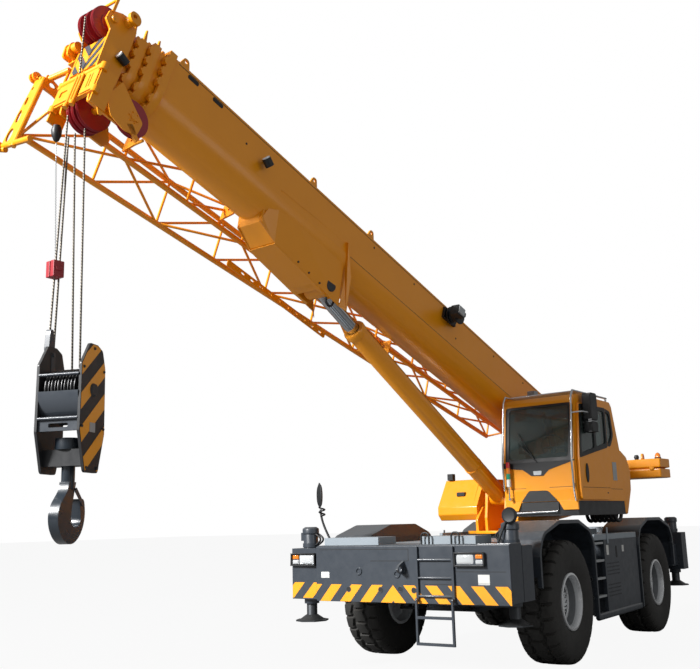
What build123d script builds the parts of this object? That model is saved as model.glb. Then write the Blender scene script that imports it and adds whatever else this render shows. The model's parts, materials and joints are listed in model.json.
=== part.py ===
"""Two-axle rough-terrain mobile crane with a four-section telescopic boom.

The machine is drawn with +X forward, +Y to its left and +Z up, from the point on the
ground below the slewing axis. Lengths are in millimetres and angles in degrees. Boom
pieces are drawn in the boom's own frame: s runs forward from the boom's foot pin and h
runs up from it, square to the boom.
"""

import os
from math import cos, radians, sin

from build123d import *

# ---------------------------------------------------------------- driving dimensions
# Running gear
WHEELBASE = 3650
TRACK = 2450
TYRE_D = 1490
TYRE_W = 520
TYRE_WALL = 45
RIM_D = 690
RIM_W = 470
KINGPIN_Y = 920
KINGPIN_R = 35
KNUCKLE_R = 78
SPINDLE_R = 70
HUB_IN = 1120
HUB_OUT = 1330
AXLE_HALF = 85
FORK_Z = 110
FORK_T = 32

# Carrier
HALF_WIDTH = 1490
END_BOX_L = 600
END_BOX_HALF = 1095
BOX_BOTTOM = 860
BOX_WALL = 14
FRAME_HALF = 450
FRAME_BOTTOM = 900
FRAME_WALL = 20
ENGINE_L = 900
ENGINE_HALF = 330
ENGINE_TOP = 1420
DECK_TOP = 1500
DECK_T = 30
DECK_HALF = 920
RAISED_H = 90
PLATE_T = 29
FENDER_TOP = 1735
FENDER_T = 25
FENDER_OUT = 1000
FENDER_IN = 880
FENDER_FLAT = 330
FENDER_RUN = 120
FENDER_DROPS = (135, 335), (145, 355)
FENDER_FEET = (1150, 1090)
FENDER_BEND = 220
FENDER_WALL = 20
FENDER_LIP = 45
FENDER_LIP_W = 50
FENDER_LEGS = (450, 980)
FENDER_GAP = 215
HALF_LENGTH = WHEELBASE / 2 + FENDER_OUT + FENDER_GAP + END_BOX_L
LADDER_W = 410
LADDER_GAP = 15
LADDER_RAIL = 25
LOCKER_GAP = 75
LOCKER_BACK = FENDER_IN + LOCKER_GAP - WHEELBASE / 2
LOCKER_FRONT = WHEELBASE / 2 - FENDER_IN - LADDER_GAP - LADDER_W
LOCKER_BOTTOM, LOCKER_TOP = 450, 1450
LOCKER_WALL = 8

# Outriggers
BEAM_W = 220
BEAM_H = 280
BEAM_WALL = 16
BEAM_GAP = 6
BEAM_Z = 1100
BEAM_LEN = 2480
HOUSING_HALF = 150
JACK_Y = HALF_WIDTH - 190
JACK_R = 92
JACK_BORE_R = 70
JACK_ROD_R = 65
JACK_TOP = 1700
JACK_BOTTOM = 800
FLOAT_R = 205
FLOAT_Z = 590

# Upper works
SLEW_DEG = -4.64
RING_R = 660
RING_H = 60
SLEW_GAP = 6
TABLE_R = 750
TABLE_T = 40
CHEEK_IN = 310
CHEEK_T = 40
COUNTERWEIGHT_X = (-3650, -3100)
COUNTERWEIGHT_HALF = 1100
COUNTERWEIGHT_Z = (2400, 2720)

# Cab
CAB_Y = (360, 1450)
CAB_WALL = 40
CAB_BOTTOM = 1980
DOOR_T = 36
DOOR_GAP = 5
GLASS_T = 8

# Boom
BOOM_DEG = 19.76
PIVOT_X = -1834
PIVOT_Z = 2725
PIVOT_R = 90
BASE_W = 580
BASE_TOP = 420
BASE_SIDE = 460
SECTION_STEP = 37
SECTION_WALL = 18
BASE_TAIL = -300
BASE_REAR = 300
BASE_NOSE = 9640
COLLAR_L = 90
COLLAR_H = 24
FIN_H = 300

# Lift cylinder
FOOT_X = 500
FOOT_Z = 2090
EYE_S = 6614
EYE_H = -500
BARREL_R = 125
BARREL_LEN = 3940
ROD_R = 85
ROD_LEN = 3760
EYE_R = 120
EYE_W = 240
LIFT_PIN_R = 55

# Hoist tackle
ROPE_R = 9
SHEAVE_R = 190
SHEAVE_W = 40
SHEAVE_LIP = 6
GROOVE_D = 26
SHEAVE_PIN_R = 38
TOP_SHEAVE = (10260, 320)
TOP_SHEAVE_R = 170
LOW_SHEAVE = (10000, -530)
SIDE_SHEAVE = (9750, -510)
BLOCK_YAW = 25
BLOCK_X = 7950
BLOCK_Y = 80
BLOCK_Z = 2990
BLOCK_AXLE_Z = -60
TRUNNION_Z = (-700, -560)
NECK_R = 56
NUT_R = 115
NUT_H = 95
HOOK_DROP = 641
HOOK_T = 92
THROAT_R = 80
BOWL_X, BOWL_H = -70, -425

RUNNING = 0.5  # radial clearance of a turning pin in its bore
SLIDE_GAP = 5  # radial clearance of a rod in its barrel


# ---------------------------------------------------------------- frames and helpers
def along(frame, y=0):
    """The frame's upright lengthwise plane at offset y: sketch x is forward, y is up."""
    return Plane(frame.from_local_coords((0, y, 0)), x_dir=frame.x_dir, z_dir=-frame.y_dir)


def across(frame, x=0):
    """The frame's upright crosswise plane at station x: sketch x is left, y is up."""
    return Plane(frame.from_local_coords((x, 0, 0)), x_dir=frame.y_dir, z_dir=frame.x_dir)


def level(frame, z=0):
    """The frame's level plane at height z: sketch x is forward, y is left."""
    return Plane(frame.from_local_coords((0, 0, z)), x_dir=frame.x_dir, z_dir=frame.z_dir)


def outline(plane, points, radius=0, sharp=0):
    """A face inside a closed run of straight lines, all but its lowest few corners rounded."""
    with BuildSketch(plane) as shape:
        with BuildLine():
            Polyline(*points, close=True)
        make_face()
        if radius:
            fillet(shape.vertices().sort_by(Axis.Y)[sharp:], radius)
    return shape.sketch


def disc(plane, centre, radius):
    """A round face on a plane."""
    with BuildSketch(plane) as shape:
        with Locations(centre):
            Circle(radius)
    return shape.sketch


def block(frame, x, y, z):
    """A box between pairs of the frame's coordinates."""
    corner = Location((min(x), min(y), min(z)))
    size = (abs(x[1] - x[0]), abs(y[1] - y[0]), abs(z[1] - z[0]))
    return frame.location * corner * Solid.make_box(*size)


def inside(frame, x, y, z, wall):
    """The hollow of such a box, one wall thickness in from every face."""
    return block(frame, *[(min(span) + wall, max(span) - wall) for span in (x, y, z)])


def bar(frame, start, end, radius):
    """A round bar between two points of a frame."""
    foot = frame.from_local_coords(start)
    axis = frame.from_local_coords(end) - foot
    return Solid.make_cylinder(radius, axis.length, Plane(foot, z_dir=axis))


def sheave(frame, centre, y, radius, bore):
    """A rope sheave with a V groove, turned about the frame's y through a centre (x, z)."""
    x, z = centre
    half, lip = SHEAVE_W / 2, SHEAVE_W / 2 - SHEAVE_LIP
    profile = [(y - half, z + bore), (y - half, z + radius), (y - lip, z + radius), (y, z + radius - GROOVE_D),
               (y + lip, z + radius), (y + half, z + radius), (y + half, z + bore)]
    axle = Axis(frame.from_local_coords((x, 0, z)), frame.y_dir)
    return revolve(outline(across(frame, x), profile), axis=axle)


pieces = []


def keep(builder, label):
    """Label a finished piece and put it on the list that is stored at the end."""
    builder.part.label = label
    pieces.append(builder.part)


CARRIER = Plane.XY
SLEW = radians(SLEW_DEG)
UPPER = Plane((0, 0, 0), x_dir=(cos(SLEW), sin(SLEW), 0), z_dir=(0, 0, 1))
LUFF = radians(BOOM_DEG)
BOOM = Plane(
    UPPER.from_local_coords((PIVOT_X, 0, PIVOT_Z)),
    x_dir=UPPER.x_dir * cos(LUFF) + UPPER.z_dir * sin(LUFF),
    z_dir=UPPER.z_dir * cos(LUFF) - UPPER.x_dir * sin(LUFF),
)
AXLES = {"front": WHEELBASE / 2, "rear": -WHEELBASE / 2}
SIDES = {"left": 1, "right": -1}
WHEEL_Z = TYRE_D / 2
DECK_BOTTOM = DECK_TOP - DECK_T

# ---------------------------------------------------------------- carrier frame
# Outriggers: corner, end of the carrier, side the beam runs out to, centre x of its housing
OUTRIGGERS = [
    ("front_right", 1, -1, HALF_LENGTH - HOUSING_HALF),
    ("front_left", 1, 1, HALF_LENGTH - 3 * HOUSING_HALF),
    ("rear_left", -1, 1, HOUSING_HALF - HALF_LENGTH),
    ("rear_right", -1, -1, 3 * HOUSING_HALF - HALF_LENGTH),
]
BORE_W = BEAM_W / 2 + BEAM_GAP
BORE_H = BEAM_H / 2 + BEAM_GAP
HOUSING_H = BORE_H + 30
CLOSED_END = HALF_WIDTH - 20
BOX_BACK = HALF_LENGTH - END_BOX_L
BOX_Z = (BOX_BOTTOM, DECK_BOTTOM)
CORNER_Y = (END_BOX_HALF, HALF_WIDTH)

with BuildPart() as carrier_frame:
    rails = (-BOX_BACK, BOX_BACK), (-FRAME_HALF, FRAME_HALF), (FRAME_BOTTOM, DECK_BOTTOM)
    add(block(CARRIER, *rails))
    add(inside(CARRIER, *rails, FRAME_WALL), mode=Mode.SUBTRACT)
keep(carrier_frame, "carrier_frame")

def housing(x, start, end):
    """A stretch of the sleeve that an outrigger beam slides in, between two y values."""
    across_beam, height = (x - HOUSING_HALF, x + HOUSING_HALF), (BEAM_Z - HOUSING_H, BEAM_Z + HOUSING_H)
    return block(CARRIER, across_beam, (start, end), height)


def tunnel(x, side):
    """The way through a sleeve, from its open end to the far end of the beam."""
    run = side * (END_BOX_HALF + 5), side * (END_BOX_HALF - BEAM_LEN)
    return block(CARRIER, (x - BORE_W, x + BORE_W), run, (BEAM_Z - BORE_H, BEAM_Z + BORE_H))


# Hollow boxes at both ends, each with the two sleeves that its outrigger beams slide in
with BuildPart() as outrigger_boxes:
    for end in (1, -1):
        box = (end * BOX_BACK, end * HALF_LENGTH), (-END_BOX_HALF, END_BOX_HALF), (BOX_BOTTOM, DECK_TOP)
        add(block(CARRIER, *box))
        add(inside(CARRIER, *box, BOX_WALL), mode=Mode.SUBTRACT)
    for _, _, side, x in OUTRIGGERS:
        add(housing(x, -END_BOX_HALF, END_BOX_HALF))
    for _, _, side, x in OUTRIGGERS:
        add(tunnel(x, side), mode=Mode.SUBTRACT)
keep(outrigger_boxes, "outrigger_boxes")

# The corner box at each end that has no jack, and the sleeves' far ends past the end boxes
with BuildPart() as sleeve_ends:
    for end in (1, -1):
        corner_x = end * (HALF_LENGTH - 2 * HOUSING_HALF + 5), end * HALF_LENGTH
        corner = corner_x, (end * CORNER_Y[0], end * CORNER_Y[1]), (BOX_BOTTOM, DECK_TOP)
        add(block(CARRIER, *corner))
        add(inside(CARRIER, *corner, BOX_WALL), mode=Mode.SUBTRACT)
    for _, _, side, x in OUTRIGGERS:
        far = CLOSED_END if abs(x) > BOX_BACK + 2 * HOUSING_HALF else BEAM_LEN - END_BOX_HALF + 10
        add(housing(x, -side * END_BOX_HALF, -side * far))
    for _, _, side, x in OUTRIGGERS:
        add(tunnel(x, side), mode=Mode.SUBTRACT)
keep(sleeve_ends, "sleeve_ends")

LAMP_Y, LAMP_Z = (830, 1200), (1260, 1400)
LADDER_Y = (340, 800)
FACE_X = HALF_LENGTH + PLATE_T
TOW_EYE = (FACE_X + 91, 1230)
TOW_EYE_R = 35
with BuildPart() as end_plates:
    for end in (1, -1):
        skin = (end * HALF_LENGTH, end * FACE_X), (-end * END_BOX_HALF, end * HALF_WIDTH)
        add(block(CARRIER, *skin, (BOX_BOTTOM - 15, DECK_TOP - 13)))
    add(block(CARRIER, (FACE_X, FACE_X + 25), LAMP_Y, LAMP_Z))
    lug = [(FACE_X, 1160), (FACE_X + 110, 1190), (FACE_X + 150, 1230), (FACE_X + 110, 1275), (FACE_X, 1320)]
    extrude(outline(along(CARRIER, 165), lug), amount=30)
    extrude(disc(along(CARRIER, 170), TOW_EYE, TOW_EYE_R), amount=40, mode=Mode.SUBTRACT)
keep(end_plates, "end_plates")

with BuildPart() as carrier_deck:
    add(block(CARRIER, (-BOX_BACK, BOX_BACK), (-DECK_HALF, DECK_HALF), (DECK_BOTTOM, DECK_TOP)))
    # raised boxes along the front and rear edges
    for end, y in ((1, (-1040, -250)), (1, (330, 1040)), (-1, (-900, 900))):
        x = end * (BOX_BACK + 110), end * (HALF_LENGTH - 80)
        add(block(CARRIER, x, y, (DECK_TOP, DECK_TOP + RAISED_H)))
    for side in (1, -1):
        add(block(CARRIER, (-790, 790), (side * (DECK_HALF - 50), side * DECK_HALF), (DECK_TOP, DECK_TOP + RAISED_H)))
keep(carrier_deck, "carrier_deck")

def fender_arch(end, inset, feet):
    """A fender's side view, drawn in by an inset and closed across its two feet."""
    back, front = inset - FENDER_IN, FENDER_OUT - inset
    top = FENDER_TOP - inset
    (drop_in, knee_in), (drop_out, knee_out) = FENDER_DROPS
    run = [
        (back, feet[0]),
        (back, FENDER_TOP - knee_in),
        (back + FENDER_RUN, FENDER_TOP - drop_in - inset * 0.6),
        (-FENDER_FLAT, top),
        (FENDER_FLAT, top),
        (front - FENDER_RUN, FENDER_TOP - drop_out - inset * 0.6),
        (front, FENDER_TOP - knee_out),
        (front, feet[1]),
    ]
    run = [(end * (WHEELBASE / 2 + x), z) for x, z in run]
    with BuildSketch(along(CARRIER)) as shape:
        with BuildLine():
            FilletPolyline(*run, radius=FENDER_BEND)
            Line(run[-1], run[0])
        make_face()
    return shape.sketch


# Arched plates over the wheels, each with a lip round its outer edge that runs down into two
# legs, and a wall that closes it against the deck
with BuildPart() as wheel_fenders:
    for end in (1, -1):
        bands = [
            (DECK_HALF, FENDER_T, FENDER_FEET),
            (HALF_WIDTH - FENDER_LIP_W, FENDER_LIP, FENDER_LEGS),
        ]
        shell = fender_arch(end, 0, FENDER_FEET)
        wall = shell - outline(along(CARRIER), [(-HALF_LENGTH, 0), (HALF_LENGTH, 0), (HALF_LENGTH, DECK_BOTTOM),
                                                (-HALF_LENGTH, DECK_BOTTOM)])
        for side in (1, -1):
            for near, thick, feet in bands:
                band = fender_arch(end, 0, feet) - fender_arch(end, thick, (0, 0))
                extrude(Location((0, side * near, 0)) * band, amount=HALF_WIDTH - near, dir=(0, side, 0))
            extrude(Location((0, side * DECK_HALF, 0)) * wall, amount=FENDER_WALL, dir=(0, side, 0))
keep(wheel_fenders, "wheel_fenders")

with BuildPart() as side_lockers:
    for side in (1, -1):
        locker = (LOCKER_BACK, LOCKER_FRONT), (side * FRAME_HALF, side * (HALF_WIDTH - 40)), (LOCKER_BOTTOM, LOCKER_TOP)
        add(block(CARRIER, *locker))
        add(inside(CARRIER, *locker, LOCKER_WALL), mode=Mode.SUBTRACT)
        panel = (LOCKER_BACK - 30, LOCKER_FRONT), (side * (HALF_WIDTH - 40), side * (HALF_WIDTH - 20))
        add(block(CARRIER, *panel, (LOCKER_BOTTOM, LOCKER_TOP)))
keep(side_lockers, "side_lockers")

RUNG_R = 15
with BuildPart() as access_ladders:
    for side in (1, -1):
        y = side * (HALF_WIDTH - 70), side * (HALF_WIDTH - 20)
        for x in (LOCKER_FRONT, LOCKER_FRONT + LADDER_W - LADDER_RAIL):
            add(block(CARRIER, (x, x + LADDER_RAIL), y, (LOCKER_BOTTOM, LOCKER_TOP)))
        middle = (y[0] + y[1]) / 2
        rungs = [LOCKER_BOTTOM + 40 + step * 230 for step in range(5)]
        for z in rungs:
            add(bar(CARRIER, (LOCKER_FRONT + 10, middle, z), (LOCKER_FRONT + LADDER_W - 10, middle, z), RUNG_R))
    for y in LADDER_Y:
        add(block(CARRIER, (FACE_X, FACE_X + 30), (y - 15, y + 15), (870, 1480)))
    for z in (930, 1130, 1330):
        add(bar(CARRIER, (FACE_X + 15, LADDER_Y[0], z), (FACE_X + 15, LADDER_Y[1], z), RUNG_R - 1))
keep(access_ladders, "access_ladders")

STEP_X = FACE_X + 55
STEP_HINGE_Z = 890
with BuildPart() as ladder_step:
    for y in LADDER_Y:
        add(block(CARRIER, (STEP_X - 15, STEP_X + 15), (y - 12, y + 12), (400, STEP_HINGE_Z)))
        extrude(disc(along(CARRIER, y + 12), (STEP_X, STEP_HINGE_Z), 20), amount=24)
    for z in (415, 700):
        add(block(CARRIER, (STEP_X - 15, STEP_X + 15), LADDER_Y, (z - 15, z + 15)))
keep(ladder_step, "ladder_step")

with BuildPart() as engine_block:
    engine_x = FRAME_WALL - BOX_BACK, ENGINE_L + FRAME_WALL - BOX_BACK
    add(block(CARRIER, engine_x, (-ENGINE_HALF, ENGINE_HALF), (FRAME_BOTTOM + FRAME_WALL, ENGINE_TOP)))
keep(engine_block, "engine_block")

with BuildPart() as slewing_ring:
    extrude(disc(level(CARRIER, DECK_TOP), (0, 0), RING_R), amount=RING_H)
    extrude(disc(level(CARRIER, DECK_TOP), (0, 0), RING_R - 120), amount=RING_H, mode=Mode.SUBTRACT)
keep(slewing_ring, "slewing_ring")

# ---------------------------------------------------------------- axles, knuckles, wheels
with BuildPart() as axle_beams:
    for axle_x in AXLES.values():
        add(block(CARRIER, (axle_x - 80, axle_x + 80), (-760, 760), (WHEEL_Z - AXLE_HALF, WHEEL_Z + AXLE_HALF)))
        add(Location((axle_x, 0, WHEEL_Z)) * Solid.make_sphere(150, angle1=-90, angle2=90, angle3=360))
        for side in (1, -1):
            for z in (WHEEL_Z + FORK_Z, WHEEL_Z - FORK_Z - FORK_T):
                add(block(CARRIER, (axle_x - 60, axle_x + 60), (side * 690, side * (KINGPIN_Y + 70)), (z, z + FORK_T)))
            web = WHEEL_Z - FORK_Z - FORK_T, WHEEL_Z + FORK_Z + FORK_T
            add(block(CARRIER, (axle_x - 60, axle_x + 60), (side * 690, side * 770), web))
            add(block(CARRIER, (axle_x - 110, axle_x + 110), (side * 300, side * 420), (WHEEL_Z, FRAME_BOTTOM)))
        for side in (1, -1):
            hole = disc(level(CARRIER, WHEEL_Z - 200), (axle_x, side * KINGPIN_Y), KINGPIN_R + RUNNING)
            extrude(hole, amount=400, mode=Mode.SUBTRACT)
keep(axle_beams, "axle_beams")

RIM_IN, RIM_OUT = (TRACK - RIM_W) / 2, (TRACK + RIM_W) / 2
TYRE_IN, TYRE_OUT = (TRACK - TYRE_W) / 2, (TRACK + TYRE_W) / 2
BEAD_R = RIM_D / 2
RIM_PROFILE = [
    (RIM_IN, BEAD_R),
    (RIM_IN, BEAD_R - 38),
    (HUB_IN, BEAD_R - 60),
    (HUB_IN, SPINDLE_R + RUNNING),
    (HUB_OUT, SPINDLE_R + RUNNING),
    (HUB_OUT, 150),
    (HUB_IN + 90, 165),
    (HUB_IN + 30, 230),
    (HUB_IN + 30, BEAD_R - 60),
    (RIM_OUT - 40, BEAD_R - 45),
    (RIM_OUT, BEAD_R - 22),
    (RIM_OUT, BEAD_R),
]
TYRE_R = TYRE_D / 2
TYRE_PROFILE = [
    (RIM_IN, BEAD_R + 1),
    (TYRE_IN, BEAD_R + 130),
    (TYRE_IN, TYRE_R - 110),
    (TYRE_IN + 50, TYRE_R - 15),
    (TYRE_IN + 160, TYRE_R),
    (TYRE_OUT - 160, TYRE_R),
    (TYRE_OUT - 50, TYRE_R - 15),
    (TYRE_OUT, TYRE_R - 110),
    (TYRE_OUT, BEAD_R + 130),
    (RIM_OUT, BEAD_R + 1),
    (RIM_OUT - 50, BEAD_R + 1),
    (TYRE_OUT - TYRE_WALL, BEAD_R + 130),
    (TYRE_OUT - TYRE_WALL, TYRE_R - 120),
    (TYRE_OUT - 110, TYRE_R - 75),
    (TYRE_IN + 110, TYRE_R - 75),
    (TYRE_IN + TYRE_WALL, TYRE_R - 120),
    (TYRE_IN + TYRE_WALL, BEAD_R + 130),
    (RIM_IN + 50, BEAD_R + 1),
]
for axle, axle_x in AXLES.items():
    for hand, side in SIDES.items():
        corner = f"{axle}_{hand}"
        radial = Plane((axle_x, 0, WHEEL_Z), x_dir=(0, side, 0), z_dir=(1, 0, 0))
        spin = Axis((axle_x, 0, WHEEL_Z), (0, 1, 0))
        with BuildPart() as knuckle:
            body = disc(level(CARRIER, WHEEL_Z - FORK_Z + 3), (axle_x, side * KINGPIN_Y), KNUCKLE_R)
            extrude(body, amount=2 * FORK_Z - 6)
            pin = disc(level(CARRIER, WHEEL_Z - FORK_Z - FORK_T), (axle_x, side * KINGPIN_Y), KINGPIN_R)
            extrude(pin, amount=2 * (FORK_Z + FORK_T))
            add(bar(CARRIER, (axle_x, side * KINGPIN_Y, WHEEL_Z), (axle_x, side * (HUB_OUT - 20), WHEEL_Z), SPINDLE_R))
        keep(knuckle, f"knuckle_{corner}")

        with BuildPart() as rim:
            revolve(outline(radial, RIM_PROFILE), axis=spin)
        keep(rim, f"rim_{corner}")

        with BuildPart() as tyre:
            revolve(outline(radial, TYRE_PROFILE), axis=spin)
        keep(tyre, f"tyre_{corner}")

# ---------------------------------------------------------------- outriggers
for corner, end, side, x in OUTRIGGERS:
    with BuildPart() as beam:
        half_w, half_h = BEAM_W / 2, BEAM_H / 2
        arm = (x - half_w, x + half_w), (side * (END_BOX_HALF + 30), side * (END_BOX_HALF - BEAM_LEN + 20)), (
            BEAM_Z - half_h, BEAM_Z + half_h)
        add(block(CARRIER, *arm))
        add(inside(CARRIER, *arm, BEAM_WALL), mode=Mode.SUBTRACT)
        hood = (x - HOUSING_HALF + 5, x + HOUSING_HALF - 5), (side * (END_BOX_HALF + 20), side * HALF_WIDTH), BOX_Z
        add(block(CARRIER, *hood))
        add(inside(CARRIER, *hood, BOX_WALL), mode=Mode.SUBTRACT)
        extrude(disc(level(CARRIER, JACK_BOTTOM), (x, side * JACK_Y), JACK_R), amount=JACK_TOP - JACK_BOTTOM)
        bore = disc(level(CARRIER, JACK_BOTTOM), (x, side * JACK_Y), JACK_BORE_R)
        extrude(bore, amount=JACK_TOP - JACK_BOTTOM - 24, mode=Mode.SUBTRACT)
    keep(beam, f"outrigger_beam_{corner}")

    with BuildPart() as jack:
        rod = disc(level(CARRIER, FLOAT_Z), (x, side * JACK_Y), JACK_ROD_R)
        extrude(rod, amount=JACK_TOP - 60 - FLOAT_Z)
        with BuildSketch(level(CARRIER, FLOAT_Z)):
            with Locations((x, side * JACK_Y)):
                RegularPolygon(FLOAT_R, 8)
        extrude(amount=18)
        with BuildSketch(level(CARRIER, FLOAT_Z + 18)):
            with Locations((x, side * JACK_Y)):
                Circle(FLOAT_R - 45)
        with BuildSketch(level(CARRIER, FLOAT_Z + 75)):
            with Locations((x, side * JACK_Y)):
                Circle(JACK_ROD_R + 10)
        loft()
    keep(jack, f"outrigger_jack_{corner}")

# ---------------------------------------------------------------- upper works
TABLE_BOTTOM = DECK_TOP + RING_H + SLEW_GAP
TABLE_TOP = TABLE_BOTTOM + TABLE_T
CHEEK_OUT = CHEEK_IN + CHEEK_T
WINCHES = [(-2520, 2290, 215), (-2850, 2850, 190)]
with BuildPart() as turntable:
    extrude(disc(level(UPPER, TABLE_BOTTOM), (0, 0), TABLE_R), amount=TABLE_T)
    side_plate = [
        (640, TABLE_TOP),
        (650, 1770),
        (480, 1950),
        (0, 2050),
        (-1540, 2880),
        (-1700, 2970),
        (-1960, 2970),
        (-2150, 2780),
        (-2600, 2730),
        (-2680, 2950),
        (-3000, 2950),
        (-3100, 2720),
        (-3100, 2380),
        (-2560, 1960),
        (-900, 1765),
        (-640, 1740),
        (-640, TABLE_TOP),
    ]
    for y in (CHEEK_OUT, -CHEEK_IN):
        extrude(outline(along(UPPER, y), side_plate, 30, sharp=2), amount=CHEEK_T)
    add(bar(UPPER, (PIVOT_X, -CHEEK_OUT - 30, PIVOT_Z), (PIVOT_X, CHEEK_OUT + 30, PIVOT_Z), PIVOT_R))
    foot_plate = [(-150, TABLE_TOP), (660, TABLE_TOP), (670, 1790), (610, 2160), (560, 2210), (440, 2210), (340, 2130),
                  (-150, 1790)]
    for y in (EYE_W / 2 + 60, -EYE_W / 2 - 20):
        extrude(outline(along(UPPER, y), foot_plate, 40, sharp=2), amount=40)
    add(block(UPPER, (-2260, -2230), (-CHEEK_IN, CHEEK_IN), (1960, 2190)))
    add(block(UPPER, (-900, -640), (-CHEEK_IN, CHEEK_IN), (1765, 1790)))
    add(block(UPPER, (-640, -610), (-CHEEK_IN, CHEEK_IN), (TABLE_TOP, 1790)))
    add(block(UPPER, (-3100, -3080), (-CHEEK_IN, CHEEK_IN), (2400, 2700)))
keep(turntable, "turntable")

SLOT_H, SLOT_D = 24, 45
with BuildPart() as counterweight:
    rear, front = COUNTERWEIGHT_X
    low, high = COUNTERWEIGHT_Z
    middle = (low + high) / 2
    plan = [(front, -COUNTERWEIGHT_HALF), (front, COUNTERWEIGHT_HALF), (rear + 90, COUNTERWEIGHT_HALF),
            (rear, COUNTERWEIGHT_HALF - 90), (rear, 90 - COUNTERWEIGHT_HALF), (rear + 90, -COUNTERWEIGHT_HALF)]
    for z in (low, middle + SLOT_H / 2):
        extrude(outline(level(UPPER, z), plan), amount=(high - low - SLOT_H) / 2)
    core_y = COUNTERWEIGHT_HALF - SLOT_D - 60
    add(block(UPPER, (rear + SLOT_D, front - SLOT_D), (-core_y, core_y), (middle - SLOT_H, middle + SLOT_H)))
keep(counterweight, "counterweight")

SKIN = 6
with BuildPart() as hydraulic_cabinet:
    walls = [(-900, 1765), (520, 1765), (600, 1850), (600, 1960), (330, 2370), (-900, 2370)]
    hollow = [(-894, 1771), (518, 1771), (594, 1852), (594, 1958), (327, 2364), (-894, 2364)]
    extrude(outline(along(UPPER, -CHEEK_OUT), walls, 30), amount=680)
    extrude(outline(along(UPPER, -CHEEK_OUT - SKIN), hollow, 24), amount=680 - 2 * SKIN, mode=Mode.SUBTRACT)
keep(hydraulic_cabinet, "hydraulic_cabinet")

with BuildPart() as hoist_winches:
    for x, z, radius in WINCHES:
        add(bar(UPPER, (x, -CHEEK_IN, z), (x, CHEEK_IN, z), radius - 60))
        for y in (-CHEEK_IN + 10, CHEEK_IN - 35):
            add(bar(UPPER, (x, y, z), (x, y + 25, z), radius))
keep(hoist_winches, "hoist_winches")

# Rounded housing behind the cab, over the turntable's left side
with BuildPart() as rear_housing:
    for inset, mode in ((0, Mode.ADD), (SKIN, Mode.SUBTRACT)):
        back = [(-640 - inset, 2730 - inset), (-840 + inset, 2640 - inset), (-970 + inset, 2400), (-950 + inset, 2150),
                (-760 + inset, 1790 + inset), (-640 - inset, 1790 + inset)]
        extrude(outline(along(UPPER, 1420 - inset), back), amount=1420 - CHEEK_OUT - 2 * inset, mode=mode)
keep(rear_housing, "rear_housing")

# ---------------------------------------------------------------- cab
CAB_IN, CAB_OUT = CAB_Y
CAB_SIDE = [(985, CAB_BOTTOM), (1000, 2130), (1000, 2520), (885, 3360), (820, 3430), (-290, 3400), (-350, 3340),
            (-530, 2720), (-620, 2560), (-620, CAB_BOTTOM)]
CAB_HOLLOW = [(945, CAB_BOTTOM + CAB_WALL), (960, 2130), (960, 2520), (850, 3340), (805, 3389), (-273, 3361),
              (-316, 3320), (-492, 2710), (-580, 2545), (-580, CAB_BOTTOM + CAB_WALL)]
DOOR_SHAPE = [(-20, 1995), (940, 1995), (955, 2130), (955, 2520), (853, 3300), (-20, 3300)]
DOORWAY = [(10, 2035), (915, 2035), (915, 2520), (820, 3270), (10, 3270)]
PANEL_R, WINDOW_R = 60, 45
DOOR_LIGHTS = [
    [(880, 2590), (822, 3250), (420, 3250), (420, 2690)],
    [(380, 2700), (380, 3250), (30, 3250), (30, 2770)],
]
QUARTER_LIGHT = [(-60, 2790), (-60, 3270), (-250, 3230), (-300, 2920), (-200, 2790)]
RIGHT_LIGHT = [(880, 2590), (800, 3290), (-260, 3290), (-440, 2790), (-440, 2590)]
with BuildPart() as cab_shell:
    extrude(outline(along(UPPER, CAB_OUT), CAB_SIDE, PANEL_R, sharp=2), amount=CAB_OUT - CAB_IN)
    extrude(outline(along(UPPER, CAB_OUT - CAB_WALL), CAB_HOLLOW, PANEL_R - CAB_WALL), amount=CAB_OUT - CAB_IN - 2 * CAB_WALL,
            mode=Mode.SUBTRACT)
    for shape, y in ((DOORWAY, CAB_OUT), (QUARTER_LIGHT, CAB_OUT), (RIGHT_LIGHT, CAB_IN + CAB_WALL)):
        extrude(outline(along(UPPER, y), shape, WINDOW_R), amount=CAB_WALL, mode=Mode.SUBTRACT)
    windscreen = [(CAB_IN + 70, 2560), (CAB_OUT - 70, 2560), (CAB_OUT - 70, 3310), (CAB_IN + 70, 3310)]
    extrude(outline(across(UPPER, 780), windscreen), amount=300, mode=Mode.SUBTRACT)
    back_light = [(CAB_IN + 120, 2790), (CAB_OUT - 120, 2790), (CAB_OUT - 120, 3240), (CAB_IN + 120, 3240)]
    extrude(outline(across(UPPER, -600), back_light), amount=320, mode=Mode.SUBTRACT)
keep(cab_shell, "cab_shell")

with BuildPart() as cab_base:
    skirt = [(955, 1790), (975, CAB_BOTTOM), (-600, CAB_BOTTOM), (-620, 1790)]
    extrude(outline(along(UPPER, CAB_OUT - 15), skirt), amount=CAB_OUT - 15 - CHEEK_OUT)
    hollow = [(940, 1800), (955, CAB_BOTTOM - 10), (-590, CAB_BOTTOM - 10), (-605, 1800)]
    extrude(outline(along(UPPER, CAB_OUT - 25), hollow), amount=CAB_OUT - 35 - CHEEK_OUT, mode=Mode.SUBTRACT)
keep(cab_base, "cab_base")

DOOR_OUT = CAB_OUT + DOOR_GAP + DOOR_T
with BuildPart() as cab_door:
    extrude(outline(along(UPPER, DOOR_OUT), DOOR_SHAPE, WINDOW_R), amount=DOOR_T)
    for light in DOOR_LIGHTS:
        extrude(outline(along(UPPER, DOOR_OUT), light, WINDOW_R), amount=DOOR_T, mode=Mode.SUBTRACT)
keep(cab_door, "cab_door")

with BuildPart() as door_glass:
    for light in DOOR_LIGHTS:
        extrude(outline(along(UPPER, DOOR_OUT - 12), light, WINDOW_R), amount=GLASS_T)
keep(door_glass, "door_glass")

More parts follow.
